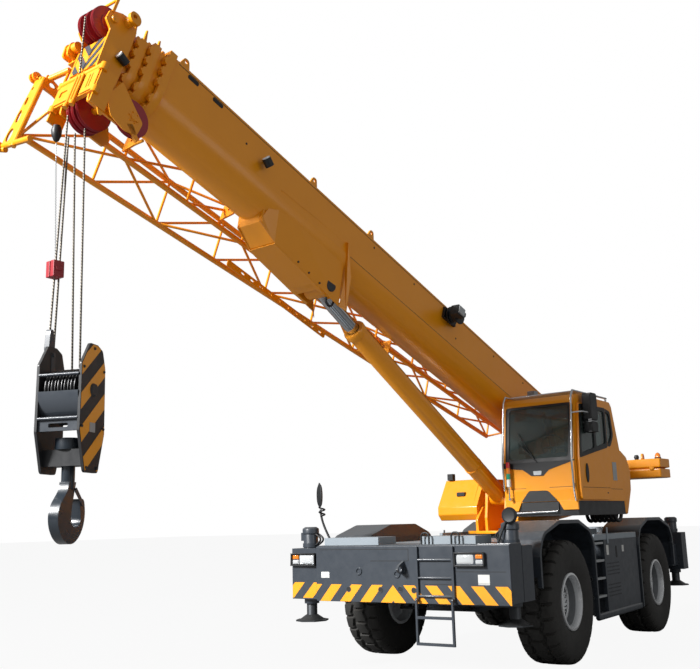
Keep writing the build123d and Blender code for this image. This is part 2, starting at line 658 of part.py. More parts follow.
with BuildPart() as cab_glass:
    extrude(outline(along(UPPER, CAB_OUT - 12), QUARTER_LIGHT, WINDOW_R), amount=GLASS_T)
    extrude(outline(along(UPPER, CAB_IN + 20), RIGHT_LIGHT, WINDOW_R), amount=GLASS_T)
    screen = [(979, 2560), (987, 2560), (885, 3310), (877, 3310)]
    extrude(outline(along(UPPER, CAB_OUT - 70), screen), amount=CAB_OUT - CAB_IN - 140)
    back = [(-500, 2790), (-492, 2790), (-361, 3240), (-369, 3240)]
    extrude(outline(along(UPPER, CAB_OUT - 120), back), amount=CAB_OUT - CAB_IN - 240)
keep(cab_glass, "cab_glass")

with BuildPart() as operator_seat:
    seat_y = 720, 1180
    add(block(UPPER, (-300, 100), seat_y, (CAB_BOTTOM + CAB_WALL, 2280)))
    cushion = [(-300, 2280), (200, 2280), (200, 2420), (-215, 2420), (-260, 3080), (-350, 3080), (-350, 2330)]
    extrude(outline(along(UPPER, seat_y[1]), cushion, 35), amount=seat_y[1] - seat_y[0])
    add(block(UPPER, (640, 860), (640, 1260), (CAB_BOTTOM + CAB_WALL, 2640)))
keep(operator_seat, "operator_seat")

# Roof guard bars, hand rails up the windscreen's posts, and the mirror
with BuildPart() as cab_fittings:
    for y in (CAB_IN + 25, CAB_OUT - 25):
        rail = [(1045, 2140), (1060, 2520), (945, 3380), (880, 3475), (-250, 3455)]
        for start, stop in zip(rail, rail[1:]):
            add(bar(UPPER, (start[0], y, start[1]), (stop[0], y, stop[1]), 14))
        for x, z in rail[1:-1]:
            add(Location(UPPER.from_local_coords((x, y, z))) * Solid.make_sphere(14, angle1=-90, angle2=90, angle3=360))
        add(block(UPPER, (1000, 1055), (y - 10, y + 10), (2180, 2210)))
        add(block(UPPER, (-240, -210), (y - 10, y + 10), (3405, 3455)))
    for x in (780, 690, 600, 510, 420):
        z = 3475 - (880 - x) * 0.0177
        add(bar(UPPER, (x, CAB_IN + 25, z), (x, CAB_OUT - 25, z), 11))
    add(bar(UPPER, (974, CAB_OUT - 25, 3160), (974, 1590, 3160), 11))
    add(bar(UPPER, (974, 1590, 3160), (700, 1590, 3160), 11))
    add(block(UPPER, (560, 760), (1575, 1625), (3060, 3430)))
    add(block(UPPER, (580, 760), (1575, 1620), (2900, 3050)))
    add(bar(UPPER, (700, 1590, 3000), (700, 1590, 3160), 11))
keep(cab_fittings, "cab_fittings")


# ---------------------------------------------------------------- boom sections
def boom_section(s, inset):
    """The boom's cross-section at station s, drawn in from the base section's by an inset."""
    half, shoulder, top = BASE_W / 2 - inset, BASE_TOP - BASE_SIDE, BASE_TOP - inset
    with BuildSketch(across(BOOM, s)) as shape:
        with BuildLine():
            Polyline((-half, shoulder), (-half, top), (half, top), (half, shoulder))
            ThreePointArc((half, shoulder), (0, shoulder - half), (-half, shoulder))
        make_face()
    return shape.sketch


def collar_fin(s, top):
    """The pointed rope guide that stands on a collar."""
    return outline(along(BOOM, 14), [(s - 80, top), (s - 10, top), (s - 5, top + FIN_H), (s - 20, top + FIN_H)])


SHOULDER = BASE_TOP - BASE_SIDE
BASE_BOTTOM = SHOULDER - BASE_W / 2
with BuildPart() as boom_base:
    extrude(boom_section(BASE_REAR, 0), amount=BASE_NOSE - BASE_REAR)
    tail = [(BASE_TAIL + 130, BASE_TOP), (700, BASE_TOP), (700, SHOULDER), (300, -300), (-110, -170), (BASE_TAIL, -60),
            (BASE_TAIL, 260)]
    for y in (BASE_W / 2, 40 - BASE_W / 2):
        extrude(outline(along(BOOM, y), tail), amount=40)
    add(bar(BOOM, (0, -BASE_W / 2, 0), (0, BASE_W / 2, 0), 150))
    # bracket for the lift cylinder's eye
    web = [(7900, -120), (7850, -400), (7600, -520), (6760, -640), (6560, -650), (6480, -560), (6440, -420),
           (6560, -120)]
    for y in (190, -150):
        extrude(outline(along(BOOM, y), web), amount=40)
    shoe = [(7900, -250), (7850, -400), (7600, -520), (6820, -632), (6820, -600), (7590, -488), (7830, -380),
            (7870, -250)]
    extrude(outline(along(BOOM, 150), shoe), amount=300)
    add(bar(BOOM, (EYE_S, -200, EYE_H), (EYE_S, 200, EYE_H), LIFT_PIN_R))
    hollow = boom_section(BASE_REAR + SECTION_WALL, SECTION_WALL)
    extrude(hollow, amount=BASE_NOSE - BASE_REAR - SECTION_WALL, mode=Mode.SUBTRACT)
    extrude(disc(along(BOOM, BASE_W / 2), (0, 0), PIVOT_R + RUNNING), amount=BASE_W, mode=Mode.SUBTRACT)
keep(boom_base, "boom_base")

with BuildPart() as base_collar:
    extrude(boom_section(BASE_NOSE - COLLAR_L, -COLLAR_H), amount=COLLAR_L)
    extrude(boom_section(BASE_NOSE - COLLAR_L, 0), amount=COLLAR_L, mode=Mode.SUBTRACT)
    extrude(collar_fin(BASE_NOSE, BASE_TOP), amount=28)
keep(base_collar, "base_collar")

# Sliding sections: number, rear end, nose
SLIDING = [(2, 430, 9810), (3, 560, 9940), (4, 690, 10000)]
for number, rear, nose in SLIDING:
    inset = (number - 1) * SECTION_STEP
    with BuildPart() as section:
        extrude(boom_section(rear, inset), amount=nose - rear)
        if number < 4:
            extrude(boom_section(nose - COLLAR_L, inset - COLLAR_H), amount=COLLAR_L)
            extrude(collar_fin(nose, BASE_TOP - inset + COLLAR_H), amount=28)
        extrude(boom_section(rear, inset + SECTION_WALL), amount=nose - rear, mode=Mode.SUBTRACT)
    keep(section, f"boom_section_{number}")

# ---------------------------------------------------------------- boom head
HEAD_S = 10000
HEAD_IN, HEAD_T = 196, 24
HEAD_OUT = HEAD_IN + HEAD_T
with BuildPart() as boom_head:
    cheek = [(HEAD_S, 380), (10080, 470), (10200, 450), (10330, 380), (10340, 270), (10260, 200), (10250, -230),
             (10240, -300), (10200, -640), (9690, -640), (9640, -580), (9700, -420), (HEAD_S, -330)]
    for y in (HEAD_OUT, -HEAD_IN):
        extrude(outline(along(BOOM, y), cheek, HEAD_T), amount=HEAD_T)
    add(block(BOOM, (HEAD_S, HEAD_S + 20), (-HEAD_IN, HEAD_IN), (-330, 380)))
    add(block(BOOM, (10226, 10250), (-HEAD_IN, HEAD_IN), (-230, 130)))
    # lower front frame
    for y in ((300, 320), (-350, -330)):
        add(block(BOOM, (10060, 10230), y, (-700, -280)))
    for z in ((-300, -280), (-560, -540)):
        add(block(BOOM, (10190, 10230), (-350, 320), z))
    add(block(BOOM, (10210, 10230), (100, 320), (-560, -280)))
    add(block(BOOM, (10210, 10230), (-350, -120), (-560, -280)))
    # pins, ears and guard rods
    for (s, h), y in ((TOP_SHEAVE, (-250, 250)), (LOW_SHEAVE, (-240, 240)), (SIDE_SHEAVE, (HEAD_IN, 300))):
        add(bar(BOOM, (s, y[0], h), (s, y[1], h), SHEAVE_PIN_R))
    add(bar(BOOM, (10120, HEAD_IN, 400), (10120, 290, 400), 50))
    add(bar(BOOM, (10290, -HEAD_IN, 130), (10290, -330, 130), 50))
    add(bar(BOOM, (10300, -230, 545), (10300, 230, 545), 14))
    for y in (-232, 220):
        add(block(BOOM, (10286, 10314), (y, y + 12), (380, 550)))
keep(boom_head, "boom_head")

with BuildPart() as head_sheaves:
    groups = (TOP_SHEAVE, TOP_SHEAVE_R, (-100, 0, 100)), (LOW_SHEAVE, SHEAVE_R, (-140, -70, 0)), (
        SIDE_SHEAVE, SHEAVE_R, (250,))
    for (s, h), radius, offsets in groups:
        for y in offsets:
            sheave(BOOM, (s, h), y, radius, SHEAVE_PIN_R + RUNNING)
keep(head_sheaves, "head_sheaves")

# ---------------------------------------------------------------- lift cylinder
EYE = BOOM.from_local_coords((EYE_S, 0, EYE_H))
FOOT = UPPER.from_local_coords((FOOT_X, 0, FOOT_Z))
LIFT_LEN = (EYE - FOOT).length
LIFT_DIR = (EYE - FOOT).normalized()
LIFT = Plane(FOOT, x_dir=LIFT_DIR, z_dir=LIFT_DIR.cross(UPPER.y_dir))

with BuildPart() as lift_barrel:
    extrude(disc(along(LIFT, EYE_W / 2), (0, 0), EYE_R), amount=EYE_W)
    extrude(disc(across(LIFT, 60), (0, 0), BARREL_R), amount=BARREL_LEN - 60)
    extrude(disc(across(LIFT, 200), (0, 0), ROD_R + SLIDE_GAP), amount=BARREL_LEN - 200, mode=Mode.SUBTRACT)
    extrude(disc(along(LIFT, EYE_W / 2), (0, 0), LIFT_PIN_R + RUNNING), amount=EYE_W, mode=Mode.SUBTRACT)
keep(lift_barrel, "lift_barrel")

with BuildPart() as lift_rod:
    extrude(disc(along(LIFT, EYE_W / 2), (LIFT_LEN, 0), EYE_R), amount=EYE_W)
    extrude(disc(across(LIFT, LIFT_LEN - ROD_LEN), (0, 0), ROD_R), amount=ROD_LEN)
    extrude(disc(along(LIFT, EYE_W / 2), (LIFT_LEN, 0), LIFT_PIN_R + RUNNING), amount=EYE_W, mode=Mode.SUBTRACT)
keep(lift_rod, "lift_rod")

# ---------------------------------------------------------------- hook block
HANG = UPPER.to_local_coords(BOOM.from_local_coords((LOW_SHEAVE[0], 0, LOW_SHEAVE[1])))
ROPE_TOP = HANG.Z - 280
YAW = radians(SLEW_DEG + BLOCK_YAW)
BLOCK = Plane(UPPER.from_local_coords((BLOCK_X, BLOCK_Y, BLOCK_Z)), x_dir=(cos(YAW), sin(YAW), 0), z_dir=(0, 0, 1))
# Ropes: top y, foot x and y, foot z, all in the upper works' frame
FALLS = [(-100, BLOCK_X, -200, 3345), (0, BLOCK_X - 30, 40, 3130), (150, BLOCK_X - 30, 150, 3130)]
with BuildPart() as hoist_falls:
    for top_y, foot_x, foot_y, foot_z in FALLS:
        add(bar(UPPER, (BLOCK_X, top_y, ROPE_TOP), (foot_x, foot_y, foot_z), ROPE_R))
keep(hoist_falls, "hoist_falls")

with BuildPart() as hook_block:
    cheek = [(-150, 300), (-60, 340), (70, 340), (200, 150), (210, -420), (110, -760), (-110, -760), (-210, -420),
             (-200, 150)]
    for y in (210, -186):
        extrude(outline(along(BLOCK, y), cheek, 35), amount=24)
    for y in (-120, -60, 0, 60, 120):
        sheave(BLOCK, (0, BLOCK_AXLE_Z), y, SHEAVE_R, SHEAVE_PIN_R)
    add(bar(BLOCK, (0, -186, BLOCK_AXLE_Z), (0, 186, BLOCK_AXLE_Z), SHEAVE_PIN_R + 7))
    add(block(BLOCK, (-90, 90), (-186, 186), TRUNNION_Z))
    neck_hole = disc(level(BLOCK, TRUNNION_Z[0]), (0, 0), NECK_R + RUNNING)
    extrude(neck_hole, amount=TRUNNION_Z[1] - TRUNNION_Z[0], mode=Mode.SUBTRACT)
keep(hook_block, "hook_block")

# The forged hook, drawn from the trunnion's underside: back and nose, tip, then the bowl and the neck
HOOK = Plane(BLOCK.from_local_coords((0, 0, TRUNNION_Z[0])), x_dir=BLOCK.x_dir, z_dir=BLOCK.z_dir)
NUT_FOOT = TRUNNION_Z[1] - TRUNNION_Z[0] + RUNNING
with BuildPart() as hook:
    add(bar(HOOK, (0, 0, NUT_FOOT), (0, 0, -190), NECK_R))
    add(bar(HOOK, (0, 0, NUT_FOOT), (0, 0, NUT_FOOT + NUT_H), NUT_R))
    with BuildSketch(along(HOOK, HOOK_T / 2)):
        with BuildLine():
            back = Spline((NECK_R, -130), (84, -212), (166, -302), (212, -411), (154, -568), (0, -HOOK_DROP),
                          (-160, -550), (-212, -429), (-204, -310))
            tip = ThreePointArc(back @ 1, (-168, -266), (-124, -284))
            Line(tip @ 1, (BOWL_X - THROAT_R, BOWL_H))
            bowl = ThreePointArc((BOWL_X - THROAT_R, BOWL_H), (BOWL_X, BOWL_H - THROAT_R), (BOWL_X + THROAT_R, BOWL_H))
            Polyline(bowl @ 1, (BOWL_X + THROAT_R - 10, BOWL_H + 90), (-NECK_R, -130), back @ 0)
        make_face()
    extrude(amount=HOOK_T)
keep(hook, "hook")

# ---------------------------------------------------------------- lattice jib
# Jib stations: s, inner and outer y, then h of the two low chords and of the top ones
JIB_FOOT = (10150, -500, -980, -400, -580, 80)
JIB_TIP = (1300, -500, -800, -30, -70, 170)
CHORD_R, LACE_R = 32, 15
BAYS = 10
JIB_BRACKETS = (4740, 7860)


def jib_station(t):
    """The four chord points of the jib, a fraction t of the way from foot to tip."""
    s, inner, outer, low_in, low_out, top = [a + (b - a) * t for a, b in zip(JIB_FOOT, JIB_TIP)]
    return [(s, inner, low_in), (s, outer, low_out), (s, outer, top), (s, inner, top)]


stations = [jib_station(bay / BAYS) for bay in range(BAYS + 1)]
# Each side is a flat truss: two chords, an upright at every station and a diagonal in every bay
with BuildPart() as jib_trusses:
    for lower, upper in ((0, 3), (1, 2)):
        add([bar(BOOM, stations[0][chord], stations[-1][chord], CHORD_R) for chord in (lower, upper)])
        uprights = [bar(BOOM, ring[lower], ring[upper], LACE_R) for ring in stations]
        ahead = zip(stations, stations[1:])
        add(uprights + [bar(BOOM, ring[lower], after[upper], LACE_R) for ring, after in ahead])
keep(jib_trusses, "jib_trusses")

# Cross bars zigzag between the trusses, above and below, and end against their chords
with BuildPart() as jib_lacing:
    for inner, outer in ((0, 1), (3, 2)):
        add([bar(BOOM, ring[inner], ring[outer], LACE_R) for ring in (stations[0], stations[-1])])
        for bay, (ring, after) in enumerate(zip(stations, stations[1:])):
            start, end = (inner, outer) if bay % 2 else (outer, inner)
            add(bar(BOOM, ring[start], after[end], LACE_R))
    add(jib_trusses.part, mode=Mode.SUBTRACT)
keep(jib_lacing, "jib_lacing")

# Brackets that carry the stowed jib on the boom's side: station and the height of its top chord
with BuildPart() as jib_brackets:
    for s in JIB_BRACKETS:
        t = (JIB_FOOT[0] - s) / (JIB_FOOT[0] - JIB_TIP[0])
        top_chord = jib_station(t)[3]
        h = top_chord[2] - 30, top_chord[2] + 45
        add(block(BOOM, (s - 60, s + 60), (-BASE_W / 2, top_chord[1]), h))
    add(jib_trusses.part, mode=Mode.SUBTRACT)
keep(jib_brackets, "jib_brackets")

# ---------------------------------------------------------------- storing
# The stored origin is the middle of the whole machine's box, on the ground
os.makedirs("parts", exist_ok=True)
boxes = [piece.bounding_box() for piece in pieces]
low = [min(getattr(box.min, axis) for box in boxes) for axis in "XYZ"]
high = [max(getattr(box.max, axis) for box in boxes) for axis in "XYZ"]
origin = Vector((low[0] + high[0]) / 2, (low[1] + high[1]) / 2, low[2])
print("origin", origin, "low", low, "high", high)
for piece in pieces:
    stored = piece.moved(Location(-origin))
    stored.label = piece.label
    export_step(stored, f"parts/{piece.label}.step")
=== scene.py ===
# %% [markdown]
# # A rough-terrain crane in its paint, rubber and chrome
# The solids of the machine arrive as a fixed frame, in metres. Each cell below adds one
# finish or one family of pieces to it. Places could be typed in the world's axes, but the
# boom leans and the upper works are turned, so every place is measured from the frame's
# own joints instead, and the boom's pieces lean with the boom.

# %% Load the frame
import json
import bmesh
import bpy
import numpy as np
from mathutils import Matrix, Vector


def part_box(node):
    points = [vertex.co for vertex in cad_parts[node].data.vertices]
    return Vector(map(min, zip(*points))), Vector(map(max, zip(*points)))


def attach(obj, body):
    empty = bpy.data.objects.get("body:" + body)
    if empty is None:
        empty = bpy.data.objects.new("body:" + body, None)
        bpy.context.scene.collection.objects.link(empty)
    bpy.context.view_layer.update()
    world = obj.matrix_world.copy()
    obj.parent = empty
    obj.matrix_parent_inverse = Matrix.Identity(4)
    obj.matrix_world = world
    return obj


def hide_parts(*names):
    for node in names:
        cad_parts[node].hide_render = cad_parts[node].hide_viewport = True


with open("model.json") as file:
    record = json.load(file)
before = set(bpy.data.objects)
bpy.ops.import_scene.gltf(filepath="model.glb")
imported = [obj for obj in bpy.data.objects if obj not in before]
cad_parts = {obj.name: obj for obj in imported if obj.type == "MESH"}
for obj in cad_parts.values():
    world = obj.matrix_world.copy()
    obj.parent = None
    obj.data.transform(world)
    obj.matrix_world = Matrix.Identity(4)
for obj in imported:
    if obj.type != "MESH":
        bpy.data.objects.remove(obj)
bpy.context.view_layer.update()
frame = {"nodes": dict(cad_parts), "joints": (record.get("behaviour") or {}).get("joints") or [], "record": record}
nodes = frame["nodes"]
joints = {joint["name"]: joint for joint in frame["joints"]}

# %% [markdown]
# ## Local frames
# A crane is several machines on top of each other. The carrier is square to the world,
# the upper works are turned about the slewing axis, the boom is turned and raised, and
# the lift cylinder has a slope of its own. Each frame is four columns: forward, left, up
# and origin. They are read from the joints, so no angle is written twice. On the boom, s
# is the distance from its foot pin and h the height square to its axis.

# %% Frames from the joints
def axes(origin, forward, left):
    """A 4x4 matrix whose columns are forward, left, up = forward x left, and the origin."""
    forward = np.array(forward, float) / np.linalg.norm(forward)
    left = np.array(left, float) / np.linalg.norm(left)
    place = np.eye(4)
    place[:3, 0], place[:3, 1], place[:3, 2] = forward, left, np.cross(forward, left)
    place[:3, 3] = origin
    return place


def put(place, points):
    """Points of a local frame, in the frame of the whole object."""
    points = np.asarray(points, float)
    return points @ place[:3, :3].T + place[:3, 3]


slew = np.array(joints["slew"]["pos_m"])
swivel = np.array(joints["hook_swivel"]["pos_m"])
LEFT = -np.array(joints["boom_luff"]["axis"])
FORWARD = np.cross(LEFT, (0, 0, 1))
CARRIER = axes((slew[0], slew[1], 0), (1, 0, 0), (0, 1, 0))
UPPER = axes((slew[0], slew[1], 0), FORWARD, LEFT)
BOOM = axes(joints["boom_luff"]["pos_m"], joints["telescope_2"]["axis"], LEFT)
BARREL_AXIS = -np.array(joints["lift_barrel_slide"]["axis"])
LIFT = axes(joints["lift_rod_pivot"]["pos_m"], BARREL_AXIS, LEFT)
print("boom slope", np.degrees(np.arcsin(BOOM[2, 0])))
print("lift rod eye", np.round(LIFT[:3, 3], 3))

# %% [markdown]
# ## Frames for plates
# Most pieces are bolted to a plate. A frame can be moved to the plate and turned to face
# it, so that an outline is drawn on the plate as on paper. Plates that face forward are
# so common on a crane that they have a helper of their own.

# %% Frames moved and turned
def at(place, x=0.0, y=0.0, z=0.0, forward=None, left=None):
    """A frame moved to a point of its own, and turned if new axes are given in it."""
    turned = place.copy()
    if forward is not None:
        turned[:3, :3] = place[:3, :3] @ axes((0, 0, 0), forward, left)[:3, :3]
    turned[:3, 3] = put(place, (x, y, z))
    return turned


def facing_forward(place, x, y=0.0, z=0.0):
    """A frame on a plate that faces forward: across the plate, into the plate, and up."""
    return at(place, x, y, z, forward=(0, 1, 0), left=(-1, 0, 0))


FRONT_FACE = 3.669
HOOD_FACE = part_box("outrigger_beam_front_right")[1][0] - CARRIER[0, 3]
FRONT = facing_forward(CARRIER, FRONT_FACE)
REAR = at(CARRIER, x=-FRONT_FACE, forward=(0, -1, 0), left=(1, 0, 0))
corner_front = facing_forward(CARRIER, HOOD_FACE)
corner_rear = at(CARRIER, x=-HOOD_FACE, forward=(0, -1, 0), left=(1, 0, 0))
print("front face", FRONT_FACE, "hood face", round(HOOD_FACE, 3))

# %% [markdown]
# ## Camera
# A camera could simply look at the machine's middle from a round angle. This one stands
# where a person with a telephoto lens would, low in front of the machine's left corner,
# and looks up a little. It is placed in the carrier's frame by three angles.

# %% Camera
EYE = put(CARRIER, (13.123, 5.782, 1.75))
YAW, PITCH, ROLL = np.radians((213.62, 11.64, -1.54))
SENSOR_WIDTH, FOCAL_LENGTH, FAR_LIMIT = 36.0, 47.37, 400
look = np.array((np.cos(PITCH) * np.cos(YAW), np.cos(PITCH) * np.sin(YAW), np.sin(PITCH)))
level = np.array((np.sin(YAW), -np.cos(YAW), 0.0))
upward = np.cross(level, look)
right = level * np.cos(ROLL) + upward * np.sin(ROLL)
above = upward * np.cos(ROLL) - level * np.sin(ROLL)
lens = bpy.data.cameras.new("camera")
lens.sensor_width, lens.lens, lens.clip_end = SENSOR_WIDTH, FOCAL_LENGTH, FAR_LIMIT
camera = bpy.data.objects.new("camera", lens)
pose = np.eye(4)
pose[:3, 0], pose[:3, 1], pose[:3, 2], pose[:3, 3] = right, above, -look, EYE
camera.matrix_world = Matrix(pose.tolist())
bpy.context.scene.collection.objects.link(camera)
bpy.context.scene.camera = camera
print("camera at", np.round(EYE, 2))

# %% [markdown]
# ## Tubes and turned parts
# Hoses, rails, nuts, caps and tyres are all surfaces of two parameters. They could be
# built from Blender's own cylinders and joined by hand. Worked out as a grid of points,
# they need only a path or a profile, and their faces come from the grid's order.

# %% Tubes and turned parts
def grid(points, closed_u=False, closed_v=False):
    """Points (u, v, 3) and the quads between neighbours, wrapping round where closed."""
    nu, nv = points.shape[:2]
    index = np.arange(nu * nv).reshape(nu, nv)
    if closed_u:
        index = np.vstack([index, index[:1]])
    if closed_v:
        index = np.hstack([index, index[:, :1]])
    quads = np.stack([index[:-1, :-1], index[1:, :-1], index[1:, 1:], index[:-1, 1:]], -1)
    return points.reshape(-1, 3), quads.reshape(-1, 4).tolist()


def round_turn(sides):
    """Angles of a full turn, without the last one, which is the first again."""
    return np.linspace(0, 2 * np.pi, sides, endpoint=False)


def tube(path, radius, sides=12):
    """Rings P + r (A cos t + B sin t) along a path, with A and B square to its direction."""
    path = np.asarray(path, float)
    along = np.gradient(path, axis=0)
    along /= np.linalg.norm(along, axis=1, keepdims=True)
    helper = np.eye(3)[np.argmin(np.abs(along).max(axis=0))]
    side = np.cross(along, helper)
    side /= np.linalg.norm(side, axis=1, keepdims=True)
    other = np.cross(along, side)
    turn = round_turn(sides)[None, :, None]
    ring = side[:, None] * np.cos(turn) + other[:, None] * np.sin(turn)
    points, faces = grid(path[:, None] + radius * ring, closed_v=True)
    faces += [list(range(sides))[::-1], list(range(len(points) - sides, len(points)))]
    return points, faces


def strut(place, start, end, radius, sides=12):
    """A straight tube between two points of a frame."""
    return tube(put(place, [start, end]), radius, sides)


def lathe(place, profile, sides=48, closed=False):
    """A profile of (distance along the frame's left axis, radius), turned round that axis."""
    along, radius = np.asarray(profile, float).T[:, :, None]
    turn = round_turn(sides)
    across = np.broadcast_to(along, (len(along), sides))
    rings = np.stack([radius * np.cos(turn), across, radius * np.sin(turn)], -1)
    points, faces = grid(rings, closed_u=closed, closed_v=True)
    return put(place, points), faces


def upright_turned(spot, profile, sides=28):
    """A profile of (height, radius) turned round an upright axis at a point."""
    height, radius = np.asarray(profile, float).T[:, :, None]
    turn = round_turn(sides)
    upward = np.broadcast_to(height, (len(height), sides))
    rings = np.stack([radius * np.cos(turn), radius * np.sin(turn), upward], -1)
    return grid(rings + spot, closed_v=True)


print("corners of a strut", len(strut(CARRIER, (0, 0, 0), (0, 0, 1), 0.1)[0]))

# %% [markdown]
# ## Plates, bricks and folded sheets
# The rest of a crane is cut and folded plate. A plate is an outline with a thickness: the
# outline again at the plate's far face, and a wall along each edge. Corners are bent by a
# short curve, since a flame-cut corner is never sharp.

# %% Plates, bricks and folded sheets
def prism(near, far):
    """Two matching outlines joined: a four-sided wall for each edge, and both as ends."""
    n = len(near)
    ring = np.arange(n)
    after = (ring + 1) % n
    walls = np.stack([ring, after, after + n, ring + n], -1).tolist()
    return np.vstack([near, far]), walls + [ring[::-1].tolist(), (ring + n).tolist()]


def slab(place, outline, thickness):
    """An outline in the frame's forward-up plane, thickened along its left axis."""
    x, z = np.asarray(outline, float).T
    near = np.stack([x, np.zeros(len(x)), z], -1)
    points, faces = prism(near, near + (0, thickness, 0))
    twice_area = np.sum(x * np.roll(z, -1) - z * np.roll(x, -1))
    if (twice_area < 0) == (thickness > 0):
        faces = [face[::-1] for face in faces]
    return put(place, points), faces


def brick(place, x, y, z):
    """A box between pairs of a frame's coordinates."""
    outline = [(x[0], z[0]), (x[1], z[0]), (x[1], z[1]), (x[0], z[1])]
    return slab(at(place, y=y[0]), outline, y[1] - y[0])


def facet(place, corners, thickness):
    """A flat sheet with its corners given in a frame, thickened along its own normal."""
    near = np.asarray(corners, float)
    normal = np.cross(near[1] - near[0], near[2] - near[0])
    points, faces = prism(near, near + thickness * normal / np.linalg.norm(normal))
    return put(place, points), faces


def rectangle(low_x, high_x, low_z, high_z):
    """The four corners of a rectangle, for an outline."""
    return [(low_x, low_z), (high_x, low_z), (high_x, high_z), (low_x, high_z)]


def rounded(outline, radius, steps=6):
    """Each corner P bent: (1-t)^2 A + 2t(1-t) P + t^2 B, with A and B on its two edges."""
    corner = np.asarray(outline, float)
    before, after = np.roll(corner, 1, axis=0) - corner, np.roll(corner, -1, axis=0) - corner
    length_before = np.linalg.norm(before, axis=1, keepdims=True)
    length_after = np.linalg.norm(after, axis=1, keepdims=True)
    reach = np.minimum(radius, 0.45 * np.minimum(length_before, length_after))
    start = (corner + before / length_before * reach)[:, None]
    stop = (corner + after / length_after * reach)[:, None]
    t = np.linspace(0, 1, steps)[None, :, None]
    bend = (1 - t) ** 2 * start + 2 * t * (1 - t) * corner[:, None] + t**2 * stop
    return bend.reshape(-1, 2)


def oval(x, z, half_x, half_z, lean=0.0, sides=28):
    """An ellipse about (x, z), turned by an angle."""
    u, v = half_x * np.cos(round_turn(sides)), half_z * np.sin(round_turn(sides))
    across = x + u * np.cos(lean) - v * np.sin(lean)
    upward = z + u * np.sin(lean) + v * np.cos(lean)
    return np.stack([across, upward], -1)


print("corners of a brick", len(brick(CARRIER, (0, 1), (0, 1), (0, 1))[0]))

# %% [markdown]
# ## Plates with holes
# Lightened plates have holes, and a face with a hole can't be one ring of corners. Holes
# could be cut with booleans, which are slow and fragile. A flat curve with several closed
# runs fills itself round its holes, so the plate is made as a curve and read as a mesh.

# %% Plates with holes
def pierced(place, outline, holes, thickness):
    """A plate in the frame's forward-up plane with holes through it, thickened along left."""
    curve = bpy.data.curves.new("plate", "CURVE")
    curve.dimensions, curve.fill_mode, curve.extrude = "2D", "BOTH", abs(thickness) / 2
    for run in [outline, *holes]:
        run = np.asarray(run, float)
        spline = curve.splines.new("POLY")
        spline.points.add(len(run) - 1)
        corners = np.column_stack([run, np.zeros(len(run)), np.ones(len(run))])
        spline.points.foreach_set("co", corners.ravel())
        spline.use_cyclic_u = True
    thing = bpy.data.objects.new("plate", curve)
    bpy.context.scene.collection.objects.link(thing)
    filled = thing.evaluated_get(bpy.context.evaluated_depsgraph_get())
    mesh = bpy.data.meshes.new_from_object(filled)
    points = np.zeros(3 * len(mesh.vertices))
    mesh.vertices.foreach_get("co", points)
    faces = [list(face.vertices) for face in mesh.polygons]
    bpy.data.objects.remove(thing)
    bpy.data.curves.remove(curve)
    bpy.data.meshes.remove(mesh)
    across, upward, into = points.reshape(-1, 3).T
    return put(place, np.stack([across, into + thickness / 2, upward], -1)), faces


sample = pierced(CARRIER, rectangle(-1, 1, -1, 1), [oval(0, 0, 0.5, 0.5)], 0.1)
print("corners of a plate with one hole", len(sample[0]))

# %% [markdown]
# ## Pieces
# A piece is one object made from several shapes. Each shape could be an object, but a real
# bracket is one weldment, and one object with one finish is easier to handle. Doubled
# points are merged, faces are turned outwards, and the piece rides on its body.

# %% Pieces
BEVEL_SEGMENTS, BEVEL_ANGLE = 2, 35


def merged_mesh(name, shapes):
    """One mesh from several shapes: doubles merged, faces pointing outwards."""
    points, faces, start = [], [], 0
    for shape_points, shape_faces in shapes:
        points.append(shape_points)
        faces += [[start + i for i in face] for face in shape_faces]
        start += len(shape_points)
    mesh = bpy.data.meshes.new(name)
    mesh.from_pydata(np.vstack(points).tolist(), [], faces)
    shell = bmesh.new()
    shell.from_mesh(mesh)
    bmesh.ops.remove_doubles(shell, verts=shell.verts, dist=1e-6)
    bmesh.ops.recalc_face_normals(shell, faces=shell.faces)
    shell.to_mesh(mesh)
    shell.free()
    return mesh


def soft_edges(thing, width, segments, angle):
    """A narrow bevel on every edge sharper than an angle."""
    soften = thing.modifiers.new("soft_edges", "BEVEL")
    soften.width, soften.segments, soften.limit_method = width, segments, "ANGLE"
    soften.angle_limit = np.radians(angle)


def piece(name, body, finish, shapes, smooth=None, bevel=0.0):
    """One object from several shapes, shaded smooth below an angle, riding on a body."""
    mesh = merged_mesh(name, shapes)
    mesh.materials.append(finish)
    if smooth is not None:
        mesh.shade_smooth()
        mesh.set_sharp_from_angle(angle=np.radians(smooth))
    thing = bpy.data.objects.new(name, mesh)
    bpy.context.scene.collection.objects.link(thing)
    if bevel:
        soft_edges(thing, bevel, BEVEL_SEGMENTS, BEVEL_ANGLE)
    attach(thing, body)
    print("made", name, "with", len(mesh.polygons), "faces")
    return thing


# %% [markdown]
# ## Colours and nodes
# A colour is written once, as its sRGB hex code, and turned into linear light, which is
# what a shader expects. Nodes could be added one property at a time. A small helper adds
# a node and sets or links its inputs in one line, so a material reads as a recipe.

# %% Colours and nodes
def light(code):
    """An sRGB hex code as linear red, green, blue and full cover."""
    srgb = np.array([int(code[i : i + 2], 16) for i in (0, 2, 4)]) / 255
    linear = np.where(srgb <= 0.04045, srgb / 12.92, ((srgb + 0.055) / 1.055) ** 2.4)
    return (*linear.tolist(), 1.0)


